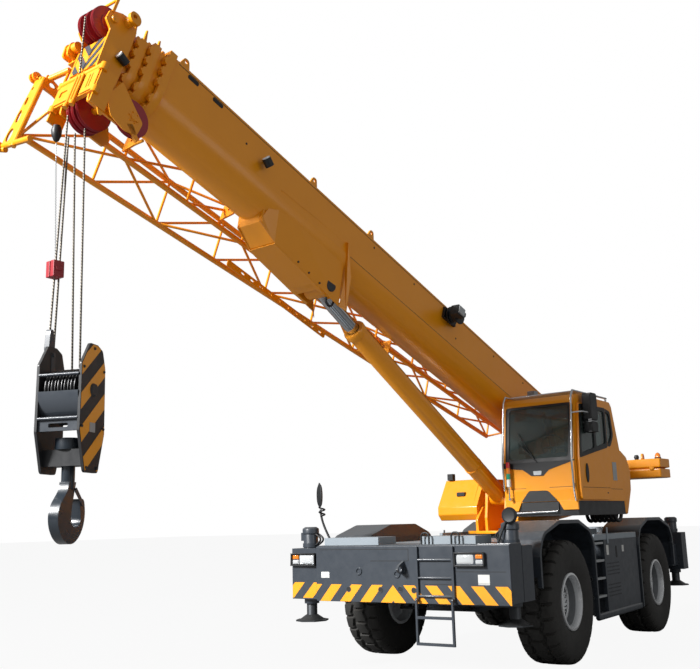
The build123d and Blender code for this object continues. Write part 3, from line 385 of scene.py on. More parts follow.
def node(tree, kind, settings=None, **inputs):
    """Adds a node, sets its properties, and sets or links its inputs; i7 is input number 7."""
    new = tree.nodes.new(kind)
    for key, value in (settings or {}).items():
        setattr(new, key, value)
    for key, value in inputs.items():
        numbered = key[0] == "i" and key[1:].isdigit()
        socket = new.inputs[int(key[1:]) if numbered else key.replace("_", " ")]
        if isinstance(value, bpy.types.NodeSocket):
            tree.links.new(value, socket)
        else:
            socket.default_value = value
    return new


def blank(name):
    """A new material with an empty tree, an output and a Principled surface."""
    material = bpy.data.materials.new(name)
    material.use_nodes = True
    tree = material.node_tree
    tree.nodes.clear()
    surface = tree.nodes.new("ShaderNodeBsdfPrincipled")
    out = tree.nodes.new("ShaderNodeOutputMaterial")
    tree.links.new(surface.outputs["BSDF"], out.inputs["Surface"])
    return material, tree, surface


def set_sockets(surface, **values):
    """Sets constant inputs of the surface itself, by name."""
    for key, value in values.items():
        surface.inputs[key.replace("_", " ")].default_value = value


def noise(tree, scale, detail, **more):
    """Noise on Object coordinates, as a value about a half."""
    where = node(tree, "ShaderNodeTexCoord").outputs["Object"]
    texture = node(tree, "ShaderNodeTexNoise", Vector=where, Scale=scale, Detail=detail, **more)
    return texture.outputs["Fac"]


def tones(tree, share, first, second):
    """A colour between two others, by a share from 0 to 1."""
    mix = node(tree, "ShaderNodeMix", {"data_type": "RGBA"}, i0=share, i6=first, i7=second)
    return mix.outputs[2]


def stretch(tree, value, low, high, first, last):
    """A value from a low to a high, carried over to a first and a last."""
    stretched = node(tree, "ShaderNodeMapRange", Value=value, i1=low, i2=high, i3=first, i4=last)
    return stretched.outputs["Result"]


def dented(tree, surface, height, strength, distance):
    """A bump on the surface from a height."""
    bump = node(tree, "ShaderNodeBump", Strength=strength, Distance=distance, Height=height)
    tree.links.new(bump.outputs["Normal"], surface.inputs["Normal"])


print("crane yellow in linear light", np.round(light("F59D0C"), 3))

# %% [markdown]
# ## Enamels
# Sprayed enamel on a working machine is never one colour. It could be painted as an image,
# but a recipe of nodes holds at any distance: two close tones in large soft clouds, pale
# dust on what faces up, roughness that drifts with the dust, and a very fine bump where
# the spray has dried like the skin of an orange.

# %% Enamels
def enamel(name, colour, shade, dust, rough=0.35, coat=0.3, dusty=0.35, metal=0.0, peel=0.05):
    """Two tones by a cloud, dust by upward facing times grit, roughness by grit, fine bump."""
    material, tree, surface = blank(name)
    tone = tones(tree, noise(tree, 1.7, 5.0, Roughness=0.6), light(colour), light(shade))
    grit = noise(tree, 9.0, 8.0, Roughness=0.7)
    normal = node(tree, "ShaderNodeNewGeometry").outputs["Normal"]
    facing = node(tree, "ShaderNodeSeparateXYZ", Vector=normal).outputs["Z"]
    lying = stretch(tree, facing, 0.2, 1.0, 0.0, dusty)
    patchy = node(tree, "ShaderNodeMath", {"operation": "MULTIPLY"}, i0=lying, i1=grit)
    dusted = tones(tree, patchy.outputs[0], tone, light(dust))
    tree.links.new(dusted, surface.inputs["Base Color"])
    dull = stretch(tree, grit, 0.3, 0.7, rough - 0.06, rough + 0.1)
    tree.links.new(dull, surface.inputs["Roughness"])
    dented(tree, surface, noise(tree, 160.0, 2.0), peel, 0.002)
    set_sockets(surface, Coat_Weight=coat, Coat_Roughness=0.12, Metallic=metal)
    return material


YELLOW = enamel("crane_yellow_enamel", "F59D0C", "EA9308", "CFA565", rough=0.34, coat=0.15)
STRIPE = enamel("stripe_yellow", "F5A21B", "EE9A16", "C9A875", rough=0.34, coat=0.3)
SLATE = enamel("slate_grey_enamel", "363C44", "2F353C", "7D7D7A", rough=0.36, coat=0.2, dusty=0.5)
BLACK = enamel("satin_black_enamel", "1C1E21", "17181A", "6B6862", rough=0.42, coat=0.1)
RED = enamel("sheave_red_enamel", "A3202B", "8C1A25", "7A5A50", rough=0.4, coat=0.2)
SILVER = enamel("rim_silver_enamel", "D6D9DB", "C8CBCE", "A5A39D", 0.36, coat=0.2, metal=0.25)
STEEL = enamel("dark_machined_steel", "4A4D50", "3B3D40", "6F6A60", 0.45, coat=0.0, metal=0.7)
# A pale grey whose blue tint on the deck is partly a painted reflection of the sky.
PALE_AND_SKY_REFLECTION = enamel("pale_grey_enamel_and_painted_sky_reflection", "8E979E", "858E95", "8F8D87", rough=0.45, coat=0.1)
CAST = enamel("cast_hook_enamel", "1C252E", "171F27", "333A40", 0.3, 0.35, dusty=0.3, peel=0.3)
RUBBER = enamel("weathered_tyre_rubber", "2A2927", "232220", "5C564D", 0.72, 0.0, 0.25, peel=0.35)
print("finishes", len(bpy.data.materials))

# %% [markdown]
# ## Floor and sky
# The machine stands on a plain white floor in front of a plain white sky. More light would
# whiten them, but it would wash out the paint too. Instead both glow for the camera alone,
# so they stay white, and the floor keeps the machine's shadow.

# %% Floor and sky
FLOOR_REACH, FLOOR_GLOW, SKY_LIGHT = 150, 0.93, 0.3
floor_mesh = bpy.data.meshes.new("floor")
floor_outline = rectangle(-FLOOR_REACH, FLOOR_REACH, -FLOOR_REACH, FLOOR_REACH)
floor_corners = [(x, y, 0) for x, y in floor_outline]
floor_mesh.from_pydata(floor_corners, [], [(0, 1, 2, 3)])
floor = bpy.data.objects.new("floor", floor_mesh)
bpy.context.scene.collection.objects.link(floor)
white_floor, tree, surface = blank("white_studio_floor")
set_sockets(surface, Base_Color=light("7A7A7A"), Roughness=0.9)
glow = node(tree, "ShaderNodeEmission", Strength=1.0).outputs[0]
seen = node(tree, "ShaderNodeLightPath").outputs["Is Camera Ray"]
share = node(tree, "ShaderNodeMath", {"operation": "MULTIPLY"}, i0=seen, i1=FLOOR_GLOW).outputs[0]
mixed = node(tree, "ShaderNodeMixShader", i0=share, i1=surface.outputs[0], i2=glow).outputs[0]
tree.links.new(mixed, tree.nodes["Material Output"].inputs["Surface"])
floor_mesh.materials.append(white_floor)

world = bpy.data.worlds.new("studio")
bpy.context.scene.world = world
world.use_nodes = True
sky = world.node_tree
backdrop = sky.nodes["Background"]
backdrop.inputs["Color"].default_value = light("FFFFFF")
seen = node(sky, "ShaderNodeLightPath").outputs["Is Camera Ray"]
strength = node(sky, "ShaderNodeMapRange", Value=seen, i3=SKY_LIGHT, i4=1.0).outputs["Result"]
sky.links.new(strength, backdrop.inputs["Strength"])
bpy.context.scene.view_settings.view_transform = "Standard"
print("floor", 2 * FLOOR_REACH, "m across")

# %% [markdown]
# ## Lamps on the machine
# A yard crane is seen in sunlight from one side. A sun lamp would give hard shadows, so a
# square soft lamp in front and above lights what faces forward, and a weak wide one lifts
# the left flank out of black.

# %% Lamps on the machine
def soft_lamp(name, where, aim, size, power):
    """A square soft lamp at a point of the carrier's frame, turned to face another."""
    source = bpy.data.lights.new(name, "AREA")
    source.size, source.energy = size, power
    thing = bpy.data.objects.new(name, source)
    where, aim = Vector(put(CARRIER, where).tolist()), Vector(put(CARRIER, aim).tolist())
    thing.location = where
    thing.rotation_euler = (aim - where).to_track_quat("-Z", "Y").to_euler()
    bpy.context.scene.collection.objects.link(thing)


MIDDLE = (2.0, 0, 2.5)
soft_lamp("key", (25, -9, 15), MIDDLE, size=5, power=14500)
soft_lamp("fill", (6, 24, 7), MIDDLE, size=12, power=520)
print("lamps", len(bpy.data.lights))

# %% [markdown]
# ## Rubber, chrome, plastic and lenses
# Hose rubber is nearly black and never shiny. Chrome on a cylinder's rod is a clean mirror
# whose gloss drifts a little. These finishes could each have a recipe of their own, but
# they differ only in colour, gloss and grain, so one recipe with a few values makes all.

# %% Rubber, chrome, plastic and lenses
def plain(name, colour, rough, metal=0.0, coat=0.0, grain=0.0, scale=120.0, spread=0.08):
    """A one-colour finish: roughness drifts in soft clouds, with a grain bump if it's cast."""
    material, tree, surface = blank(name)
    cloud = noise(tree, 6.0, 6.0)
    darker = tuple(0.78 * channel for channel in light(colour)[:3]) + (1.0,)
    tree.links.new(tones(tree, cloud, light(colour), darker), surface.inputs["Base Color"])
    dull = stretch(tree, cloud, 0.3, 0.7, rough - spread / 2, rough + spread)
    tree.links.new(dull, surface.inputs["Roughness"])
    set_sockets(surface, Metallic=metal, Coat_Weight=coat)
    if grain:
        dented(tree, surface, noise(tree, scale, 4.0), grain, 0.003)
    return material


HOSE = plain("black_hose_rubber", "17181A", 0.5, grain=0.2)
CHROME = plain("hard_chrome", "D4D6D8", 0.12, metal=1.0, spread=0.05)
RAIL = plain("polished_steel_rail", "D9DBDD", 0.2, metal=1.0, spread=0.06)
# The rim's silver in two copies: the lighter one on the flange is a painted highlight, the darker one in the well
# is painted shade.
RIM_EDGE_LIT = plain("rim_edge_painted_highlight", "E6E8EA", 0.25, metal=0.4)
RIM_WELL_SHADED = plain("rim_well_painted_shade", "7C7F82", 0.5, metal=0.2)
PLASTIC = plain("black_moulded_plastic", "17191B", 0.45, grain=0.15, scale=300)
# Dark strips, discs and squares in this finish are painted shade in seams, holes, vents, slots and creases; small
# bolt heads and a latch are black in it too.
GAP_SHADE_BLACK = plain("black_painted_gap_shade", "121314", 0.55)
SEAT = plain("seat_cloth", "26282C", 0.9, grain=0.5, scale=400)
BARE = plain("bare_galvanised_plate", "B6BABC", 0.42, metal=0.5, grain=0.1)
BLANK = plain("blank_white_plate", "DADAD6", 0.5)
LENS_WHITE = plain("clear_lamp_lens", "E9EDF0", 0.08, coat=1.0)
LENS_AMBER = plain("amber_lamp_lens", "E8801A", 0.12, coat=1.0)
LENS_RED = plain("red_lamp_lens", "C4202A", 0.15, coat=1.0)
LENS_GREEN = plain("green_lamp_lens", "0F8C6A", 0.15, coat=1.0)
BRIGHT = plain("lamp_reflector", "D5D9DD", 0.15, metal=1.0)

print("finishes", len(bpy.data.materials))

# %% [markdown]
# ## Glass
# Cab glass is tinted, so the unlit cab behind it looks dark and slightly green. A lamp's
# cover is clear. Both could be one glass, but a lamp's cover has to stay bright, so it
# lets less light through and shows more of its own pale colour.

# %% Glass
def clear_or_tinted(name, colour, rough, through):
    """Glass of a colour that lets a share of the light through."""
    material, tree, surface = blank(name)
    set_sockets(surface, Base_Color=light(colour), Roughness=rough, IOR=1.45)
    set_sockets(surface, Transmission_Weight=through)
    return material


GLASS = clear_or_tinted("tinted_cab_glass", "8A9A97", 0.03, 0.85)
set_sockets(GLASS.node_tree.nodes["Principled BSDF"], Specular_IOR_Level=0.6)
CLEAR = clear_or_tinted("clear_lamp_glass", "F4F7F8", 0.04, 0.5)
print("glass", GLASS.name, CLEAR.name)

# %% [markdown]
# ## Wire rope
# A hoist rope is six strands laid round a core. The strands could be six thin tubes wound
# together, which is a lot of mesh for so little. At this size the lay shows as a fine
# diagonal ripple, so it's a wave pattern along the rope that both darkens and dents it.

# %% Wire rope
WIRE, tree, surface = blank("oiled_wire_rope")
where = node(tree, "ShaderNodeTexCoord").outputs["Object"]
diagonal = {"wave_type": "BANDS", "bands_direction": "DIAGONAL"}
lay = node(tree, "ShaderNodeTexWave", diagonal, Vector=where, Scale=22.0, Distortion=0.6)
shade = tones(tree, lay.outputs["Fac"], light("2E2B27"), light("8D8578"))
tree.links.new(shade, surface.inputs["Base Color"])
dented(tree, surface, lay.outputs["Fac"], 0.6, 0.004)
set_sockets(surface, Metallic=0.55, Roughness=0.45)
print("rope finish", WIRE.name)

# %% [markdown]
# ## Finishes of the solids
# The solids come from CAD with knife edges and no finish. Each takes the finish of its
# slot in the record, or one of its own where a single part differs. Its corners are joined
# and given a small rounded edge, because the thin bright line along a rounded edge is what
# makes pressed and welded steel look real.

# %% Finishes of the solids
FINISH = {
    "slate_paint": SLATE,
    "yellow_paint": YELLOW,
    "black_paint": BLACK,
    "sheave_red": RED,
    "rim_silver": SILVER,
    "dark_steel": STEEL,
    "tyre_rubber": RUBBER,
    "chrome_rod": CHROME,
    "rope_steel": WIRE,
    "cab_glazing": GLASS,
    "seat_fabric": SEAT,
}
OWN_FINISH = {
    "cab_base": BLACK,
    "hook": CAST,
    # The deck's pale blue-grey is partly a painted reflection of the sky.
    "carrier_deck": PALE_AND_SKY_REFLECTION,
    "cab_fittings": RAIL,
    "slewing_ring": STEEL,
}
OWN_EDGE = {
    "cab_shell": 0.022,
    "counterweight": 0.02,
    "hydraulic_cabinet": 0.02,
    "rear_housing": 0.03,
    "cab_door": 0.008,
    "hook": 0.034,
}
EDGE, EDGE_ANGLE, HOOK_SEGMENTS, JOIN_DISTANCE = 0.004, 40, 5, 0.0001
slot_of = {part["node"]: part["material_slot"] for part in frame["record"]["subparts"]}
for name, thing in nodes.items():
    thing.data.materials.clear()
    thing.data.materials.append(OWN_FINISH.get(name, FINISH[slot_of[name]]))
    thing.modifiers.new("join", "WELD").merge_threshold = JOIN_DISTANCE
    segments = HOOK_SEGMENTS if name == "hook" else BEVEL_SEGMENTS
    soft_edges(thing, OWN_EDGE.get(name, EDGE), segments, EDGE_ANGLE)
print("solids finished", len(slot_of))

# %% [markdown]
# ## Tyres
# An off-road crane tyre has wide rubber blocks between zigzag grooves. The tyre is one
# grid: its rows follow the tyre's cross-section from bead to bead, its columns go round.
# The rows near the crown are bent into a zigzag, and chosen rows and columns are sunk to
# make the grooves. Separate blocks could be laid on a smooth tyre, but they would leave
# gaps, while a grid stays one closed skin and every groove still has crisp sides.

# %% Tyres
PITCHES, STEPS = 26, 12
GROOVE, SLANT, ZIGZAG = 0.032, 0.035, 0.016
SECTION_HALF = 0.26
CORNERS = [("front_left", 1), ("front_right", -1), ("rear_left", 1), ("rear_right", -1)]


def tyre_shape(place, tread_radius, half_width, bead_radius):
    """Grid of (across, around). Radius = section(across) minus groove depth where a groove runs;
    across is shifted by a triangle wave of the angle, so the long grooves zigzag."""
    across = np.concatenate([
        [-0.222, -0.243, -0.256, -0.26, -0.259, -0.254, -0.243],
        [-0.232, -0.205, -0.165, -0.125, -0.107, -0.086, -0.068, -0.03],
        [0.03, 0.068, 0.086, 0.107, 0.125, 0.165, 0.205, 0.232],
        [0.243, 0.254, 0.259, 0.26, 0.256, 0.243, 0.222],
    ]) * (half_width / SECTION_HALF)
    drop = np.concatenate([
        [1.0, 0.86, 0.68, 0.5, 0.34, 0.2, 0.115],
        [0.07, 0.028, 0.012, 0.005, 0.004, 0.002, 0.001, 0.0],
        [0.0, 0.001, 0.002, 0.004, 0.005, 0.012, 0.028, 0.07],
        [0.115, 0.2, 0.34, 0.5, 0.68, 0.86, 1.0],
    ])
    radius = tread_radius - drop * (tread_radius - bead_radius - 0.002)
    count = PITCHES * STEPS
    phase = np.arange(count) % STEPS
    turn = np.arange(count) / count * 2 * np.pi
    zigzag = np.abs(((phase / STEPS + 0.25) % 1.0) - 0.5) * 4 - 1
    crown = np.clip((0.2 - np.abs(across)) / 0.09, 0, 1)
    y = across[:, None] + ZIGZAG * zigzag[None, :] * crown[:, None]
    depth = np.zeros((len(across), count))
    rows = np.arange(len(across))
    cross_groove = (phase == 0) | (phase == 1)
    middle_groove = (phase == 6) | (phase == 7)
    middle = (rows >= 13) & (rows <= 16)
    long_groove = (rows == 11) | (rows == 12) | (rows == 17) | (rows == 18)
    shoulder = ((rows >= 7) & (rows <= 11)) | ((rows >= 18) & (rows <= 22))
    depth[long_groove] = GROOVE
    depth[np.ix_(shoulder, cross_groove)] = GROOVE
    depth[np.ix_((rows == 6) | (rows == 23), cross_groove)] = GROOVE * 0.6
    depth[np.ix_(middle, middle_groove)] = GROOVE
    slant = turn[None, :] + SLANT * np.clip(np.abs(across) / half_width, 0, 1)[:, None]
    r = radius[:, None] - depth
    rings = np.stack([r * np.cos(slant), y, r * np.sin(slant)], -1)
    points, faces = grid(rings, closed_v=True)
    return put(place, points), faces


wheel_places = {}
for corner, side in CORNERS:
    low, high = (np.array(c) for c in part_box(f"tyre_{corner}"))
    centre = (low + high) / 2
    wheel_places[corner] = axes(centre, (side, 0, 0), (0, side, 0))
    tread, width = (high[2] - low[2]) / 2, (high[1] - low[1]) / 2
    rim_low, rim_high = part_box(f"rim_{corner}")
    bead_radius = (rim_high[2] - rim_low[2]) / 2
    shape = tyre_shape(wheel_places[corner], tread, width, bead_radius)
    tyre = piece(f"tread_tyre_{corner}", f"wheel_{corner}", RUBBER, [shape], smooth=28)
    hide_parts(f"tyre_{corner}")
print("tyre radius", round(tread, 3), "width", round(2 * width, 3))

# %% [markdown]
# ## Wheels
# The pressed rim is a solid already. What it lacks is what a wheel brace touches: a bolted
# hub end and rings of nuts. Its silver is also split in two: a lighter flange at the edge as
# a painted highlight, and a darker well behind it as painted shade. Discs and rings could be
# stacked cylinders, but one turned profile each keeps their curves.

# %% Wheel hubs and nuts
def nuts(place, y, ring_radius, count, radius, height, start=0.0):
    """Six-sided nuts standing on a ring, their axes along the frame's left axis."""
    shapes = []
    for k in range(count):
        angle = start + 2 * np.pi * k / count
        x, z = ring_radius * np.cos(angle), ring_radius * np.sin(angle)
        profile = [(0, 0), (0, radius), (height * 0.8, radius), (height, radius * 0.8), (height, 0)]
        shapes.append(lathe(at(place, x, y, z), profile, 6))
    return shapes


HUB = [(0.10, 0.0), (0.112, 0.055), (0.112, 0.10), (0.10, 0.105), (0.10, 0.145), (0.085, 0.15)]
FLANGE = [(0.236, 0.345), (0.24, 0.338), (0.24, 0.318), (0.232, 0.312), (0.2, 0.305)]
FLANGE += [(0.196, 0.312), (0.23, 0.345)]
STEP = [(0.075, 0.275), (0.085, 0.268), (0.085, 0.25), (0.07, 0.243)]
WELL = [(0.19, 0.306), (0.15, 0.296), (0.06, 0.286), (0.02, 0.28)]
WELL += [(-0.04, 0.262), (-0.062, 0.232), (-0.066, 0.16)]
RIM_SIDES, HUB_SIDES = 72, 40
for corner, place in wheel_places.items():
    wheel = f"wheel_{corner}"
    piece(f"hub_end_{corner}", wheel, SILVER, [lathe(place, HUB, HUB_SIDES)], smooth=35)
    edge = [lathe(place, FLANGE, RIM_SIDES), lathe(place, STEP, RIM_SIDES)]
    piece(f"rim_flange_{corner}", wheel, RIM_EDGE_LIT, edge, smooth=35)
    piece(f"rim_well_{corner}", wheel, RIM_WELL_SHADED, [lathe(place, WELL, RIM_SIDES)], smooth=35)
    bolts = nuts(place, 0.10, 0.125, 12, 0.011, 0.014)
    bolts += nuts(place, -0.066, 0.2, 20, 0.016, 0.03)
    bolts += nuts(place, 0.112, 0.078, 8, 0.009, 0.01, 0.2)
    piece(f"wheel_nuts_{corner}", wheel, STEEL, bolts, smooth=35)

# %% [markdown]
# ## Front panel
# Road users see a crane's front first, so it carries slanting yellow bars that meet in a
# chevron. A striped material would do on one flat plate, but its edges would be soft. The
# bars are thin sheets of paint laid on the plate instead. Each is a parallelogram that is
# cut off straight at the plate's ends.

# %% Stripes
MOST_BARS = 8


def cut(outline, y, keep_above):
    """The part of a convex outline on one side of a line of constant first coordinate."""
    kept = []
    for a, b in zip(outline, outline[1:] + outline[:1]):
        inside_a, inside_b = (a[0] >= y) == keep_above, (b[0] >= y) == keep_above
        if inside_a:
            kept.append(a)
        if inside_a != inside_b:
            t = (y - a[0]) / (b[0] - a[0])
            kept.append((y, a[1] + t * (b[1] - a[1])))
    return kept


def bars(low, high, first, last, lean, width, pitch):
    """Parallelograms of a chevron pattern about 0, between two heights and two ends."""
    found = []
    for side in (1, -1):
        for k in range(MOST_BARS):
            top = k * pitch - width
            shape = [(top, high), (top + width, high), (top + width + lean, low), (top + lean, low)]
            shape = cut(shape, 0.0, True)
            shape = [(side * y, z) for y, z in shape]
            shape = cut(cut(shape, first, True), last, False) if shape else shape
            if len(shape) > 2:
                found.append(shape)
    return found


def sheets(place, outlines, thickness=0.0015):
    """Thin sheets of paint on a plate; the frame's forward-up plane is the plate's face."""
    return [slab(place, outline, -thickness) for outline in outlines]


CHEVRON = {"first": -1.092, "last": 1.487, "lean": 0.17, "width": 0.15, "pitch": 0.29}
CORNER_BARS = {"first": -1.487, "last": -1.118, "lean": 0.17, "width": 0.15, "pitch": 0.29}
for end, plate in (("front", FRONT), ("rear", REAR)):
    piece(f"chevron_{end}", "carrier", STRIPE, sheets(plate, bars(0.848, 1.045, **CHEVRON)))
for end, hand, plate in (("front", "right", corner_front), ("rear", "left", corner_rear)):
    painted = sheets(plate, bars(0.875, 1.06, **CORNER_BARS))
    piece(f"stripes_outrigger_{end}", f"outrigger_{end}_{hand}", STRIPE, painted)

# %% [markdown]
# ## Lamp units
# Each unit is a black moulded frame round a wide headlamp, with an amber indicator over a
# clear side light beside it. A white plate would look like a sticker. A lens that is a
# shallow dome with fine ribs, in front of a bright dish, sparkles as a real one does.

# %% Lamps
def dome(place, x, z, bulge, ribs=0, nu=24, nv=16):
    """A rectangular lens: bulge * (1 - u^4)(1 - v^4), with a cosine ripple for its ribs."""
    u, v = np.meshgrid(np.linspace(-1, 1, nu), np.linspace(-1, 1, nv), indexing="ij")
    height = bulge * (1 - u**4) * (1 - v**4) + 0.0012 * np.cos(ribs * np.pi * u) * (ribs > 0)
    across = x[0] + (u + 1) / 2 * (x[1] - x[0])
    upward = z[0] + (v + 1) / 2 * (z[1] - z[0])
    points, faces = grid(np.stack([across, -height, upward], -1))
    return put(place, points), [face[::-1] for face in faces]


def frame_of(place, x, z, border, depth):
    """Four bars round a rectangle, standing out from the plate by a depth."""
    return [
        brick(place, (x[0], x[1]), (-depth, 0), (z[0], z[0] + border)),
        brick(place, (x[0], x[1]), (-depth, 0), (z[1] - border, z[1])),
        brick(place, (x[0], x[0] + border), (-depth, 0), z),
        brick(place, (x[1] - border, x[1]), (-depth, 0), z),
    ]


LAMP_HALF, LAMP_TALL, LAMP_HEIGHT = 0.185, 0.075, 1.335
RIM, GAP = 0.02, 0.008


def lamp_unit(name, body, place, centre_x, outward):
    """Headlamp towards the machine's middle, indicator and side light outside it."""
    x = (centre_x - LAMP_HALF, centre_x + LAMP_HALF)
    z = (LAMP_HEIGHT - LAMP_TALL, LAMP_HEIGHT + LAMP_TALL)
    housing = frame_of(place, x, z, 0.014, 0.045) + [brick(place, x, (-0.008, 0), z)]
    piece(f"{name}_frame", body, PLASTIC, housing, bevel=0.004)
    split = centre_x + outward * 0.065
    head = sorted((centre_x - outward * (LAMP_HALF - RIM), split - outward * GAP))
    aside = sorted((split + outward * GAP, centre_x + outward * (LAMP_HALF - RIM)))
    low, high = z[0] + RIM, z[1] - RIM
    middle = (low + high) / 2
    behind, front = at(place, y=-0.012), at(place, y=-0.022)
    piece(f"{name}_dish", body, BRIGHT, [dome(behind, head, (low, high), -0.004)], smooth=40)
    clear = [dome(front, head, (low, high), 0.016, 14)]
    clear += [dome(front, aside, (low, middle - 0.004), 0.012, 6)]
    piece(f"{name}_lens", body, CLEAR, clear, smooth=60)
    amber = [dome(front, aside, (middle + 0.004, high), 0.012, 6)]
    piece(f"{name}_indicator", body, LENS_AMBER, amber, smooth=60)
    back = [dome(behind, aside, (low, middle), -0.004)]
    piece(f"{name}_side_light_back", body, BRIGHT, back, smooth=40)


lamp_unit("lamp_left", "carrier", FRONT, 1.015, 1)
lamp_unit("lamp_right", "outrigger_front_right", corner_front, -1.30, -1)

# %% [markdown]
# ## Small parts of the front
# A service lid shows only as a seam, which could be a real gap but is too narrow to see
# into, so it's a thin dark strip of painted shade. Beside it are lashing rings, drain holes
# filled with dark discs of painted shade, and the grab loops at the head of the ladder. The
# tow eye is a solid already.

# %% Seams, holes and loops
def seam(place, points, width=0.007, depth=0.001):
    """Thin dark strips of painted shade between neighbouring points of a run on a plate."""
    strips, half = [], width / 2
    for (x0, z0), (x1, z1) in zip(points, points[1:]):
        level = abs(x1 - x0) > abs(z1 - z0)
        x = sorted((x0, x1)) if level else (x0 - half, x0 + half)
        z = (z0 - half, z0 + half) if level else sorted((z0, z1))
        strips.append(brick(place, x, (-depth, 0), z))
    return strips


def washers(place, spots, radius, height, hole=0.0, sides=24):
    """Flat rings, or discs where there's no hole, standing on a plate."""
    profile = [(0, hole), (-height, hole), (-height, radius), (0, radius)]
    return [lathe(at(place, x, 0, z), profile, sides) for x, z in spots]


HOLES, HOLE_RADIUS = [(-0.62, 0.99), (-0.17, 0.99), (0.1, 1.0), (0.28, 0.99)], 0.026
LASHINGS = [(-0.47, 1.2), (0.06, 1.17)]
# The seams and the dark discs in the drain holes are painted shade.
seams = seam(FRONT, [(-1.04, 1.452), (0.22, 1.452), (0.22, 1.318), (-0.3, 1.318)])
seams += seam(FRONT, [(0.42, 1.06), (0.78, 1.06)]) + seam(FRONT, [(0.82, 1.2), (1.44, 1.2)])
piece("front_seams", "carrier", GAP_SHADE_BLACK, seams + washers(FRONT, HOLES, HOLE_RADIUS, 0.002))
rims = washers(FRONT, HOLES, 0.034, 0.004, HOLE_RADIUS)
rims += washers(FRONT, LASHINGS, 0.045, 0.012, 0.028)
piece("front_rings", "carrier", SLATE, rims, smooth=40, bevel=0.002)


def bow(place, x0, x1, z0, z1, y, radius=0.011, bend=0.04):
    """A grab handle: up, along and down again, with round corners."""
    turn = np.linspace(0, np.pi / 2, 8)
    left_side = np.stack([x0 + bend - bend * np.cos(turn), z1 - bend + bend * np.sin(turn)], -1)
    right_side = np.stack([x1 - bend + bend * np.sin(turn), z1 - bend + bend * np.cos(turn)], -1)
    run = np.vstack([[(x0, z0)], left_side, right_side, [(x1, z0)]])
    path = np.stack([run[:, 0], np.full(len(run), y), run[:, 1]], -1)
    return tube(put(place, path), radius)


loops = [bow(FRONT, y, y + 0.1, 1.49, 1.63, 0.06) for y in (0.37, 0.76)]
piece("ladder_grab_loops", "carrier", PLASTIC, loops, smooth=50)

# %% [markdown]
# ## Flanks
# Between the wheels each flank is a locker door with rows of punched vents, a pale strip
# at the deck's edge, a rounded sill and a recessed ladder with bright treads. The vents
# could be cut through the door, but nothing shows behind them, so they are dark squares
# of painted shade set into it. The labels are blank plates, because nothing is written on this machine.

# %% Flanks
def vents(place, columns, rows, x, z, size, pitch):
    """A block of small dark squares of painted shade on a plate, set out from its lower corner."""
    spots = [(x + i * pitch, z + j * pitch) for i in range(columns) for j in range(rows)]
    return [brick(place, (u, u + size), (-0.0015, 0.001), (v, v + size)) for u, v in spots]


def labels(place, rectangles):
    """Blank plates, each between two distances across and two heights."""
    return [brick(place, (x0, x1), (-0.002, 0), (z0, z1)) for x0, x1, z0, z1 in rectangles]


FLANK, SILL_LENGTH = 1.47, 1.83
TREAD_HEIGHTS = (0.49, 0.72, 0.95, 1.18, 1.41)
SILL = rounded(rectangle(0, 0.06, 0.43, 0.52), 0.04)
for hand, side in (("left", 1), ("right", -1)):
    flank = at(CARRIER, y=side * FLANK, forward=(-side, 0, 0), left=(0, -side, 0))
    # The vent squares are painted shade.
    punched = vents(flank, 11, 4, side * -0.22 - 0.25, 0.98, 0.018, 0.048)
    punched += vents(flank, 11, 4, side * -0.22 - 0.25, 0.70, 0.018, 0.048)
    latch = rounded(rectangle(side * -0.05 - 0.03, side * -0.05 + 0.03, 1.2, 1.36), 0.02)
    piece(f"locker_vents_{hand}", "carrier", GAP_SHADE_BLACK, punched + [slab(flank, latch, -0.002)])
    strip = brick(flank, (-0.9, 0.9), (0, 0.18), (1.452, 1.53))
    post = brick(flank, (-0.42, -0.37), (-0.012, 0), (1.40, 1.62))
    piece(f"deck_edge_strip_{hand}", "carrier", PALE_AND_SKY_REFLECTION, [strip, post], bevel=0.008)
    sill_x, sill_y = 0.015 - SILL_LENGTH / 2 * side, side * 1.485
    sill_end = at(CARRIER, sill_x, sill_y, forward=(0, -side, 0), left=(side, 0, 0))
    piece(f"sill_{hand}", "carrier", SLATE, [slab(sill_end, SILL, SILL_LENGTH)], smooth=50)
    tread_y = sorted((side * 1.385, side * 1.462))
    treads = [brick(CARRIER, (0.545, 0.905), tread_y, (z - 0.012, z + 0.017)) for z in TREAD_HEIGHTS]
    piece(f"ladder_treads_{hand}", "carrier", BARE, treads, bevel=0.003)
    plates = labels(flank, [(0.2, 0.28, 1.27, 1.36), (-0.46, -0.37, 1.25, 1.38)])
    piece(f"blank_labels_{hand}", "carrier", BLANK, plates)

FRONT_LABELS = [(1.1, 1.24, 1.07, 1.17), (1.1, 1.24, 1.06, 1.075), (-1.02, -0.9, 1.12, 1.19)]
piece("blank_labels_front", "carrier", BLANK, labels(FRONT, FRONT_LABELS))

# %% [markdown]
# ## Corner mirrors
# Drivers see the crane's corners in two mirrors. The far one stands on a bent pole wound
# with a spring guard and is a long oval, the near one is a round dish over the jack. An
# oval dish could be modelled point by point, but it's a turned dish stretched upwards.

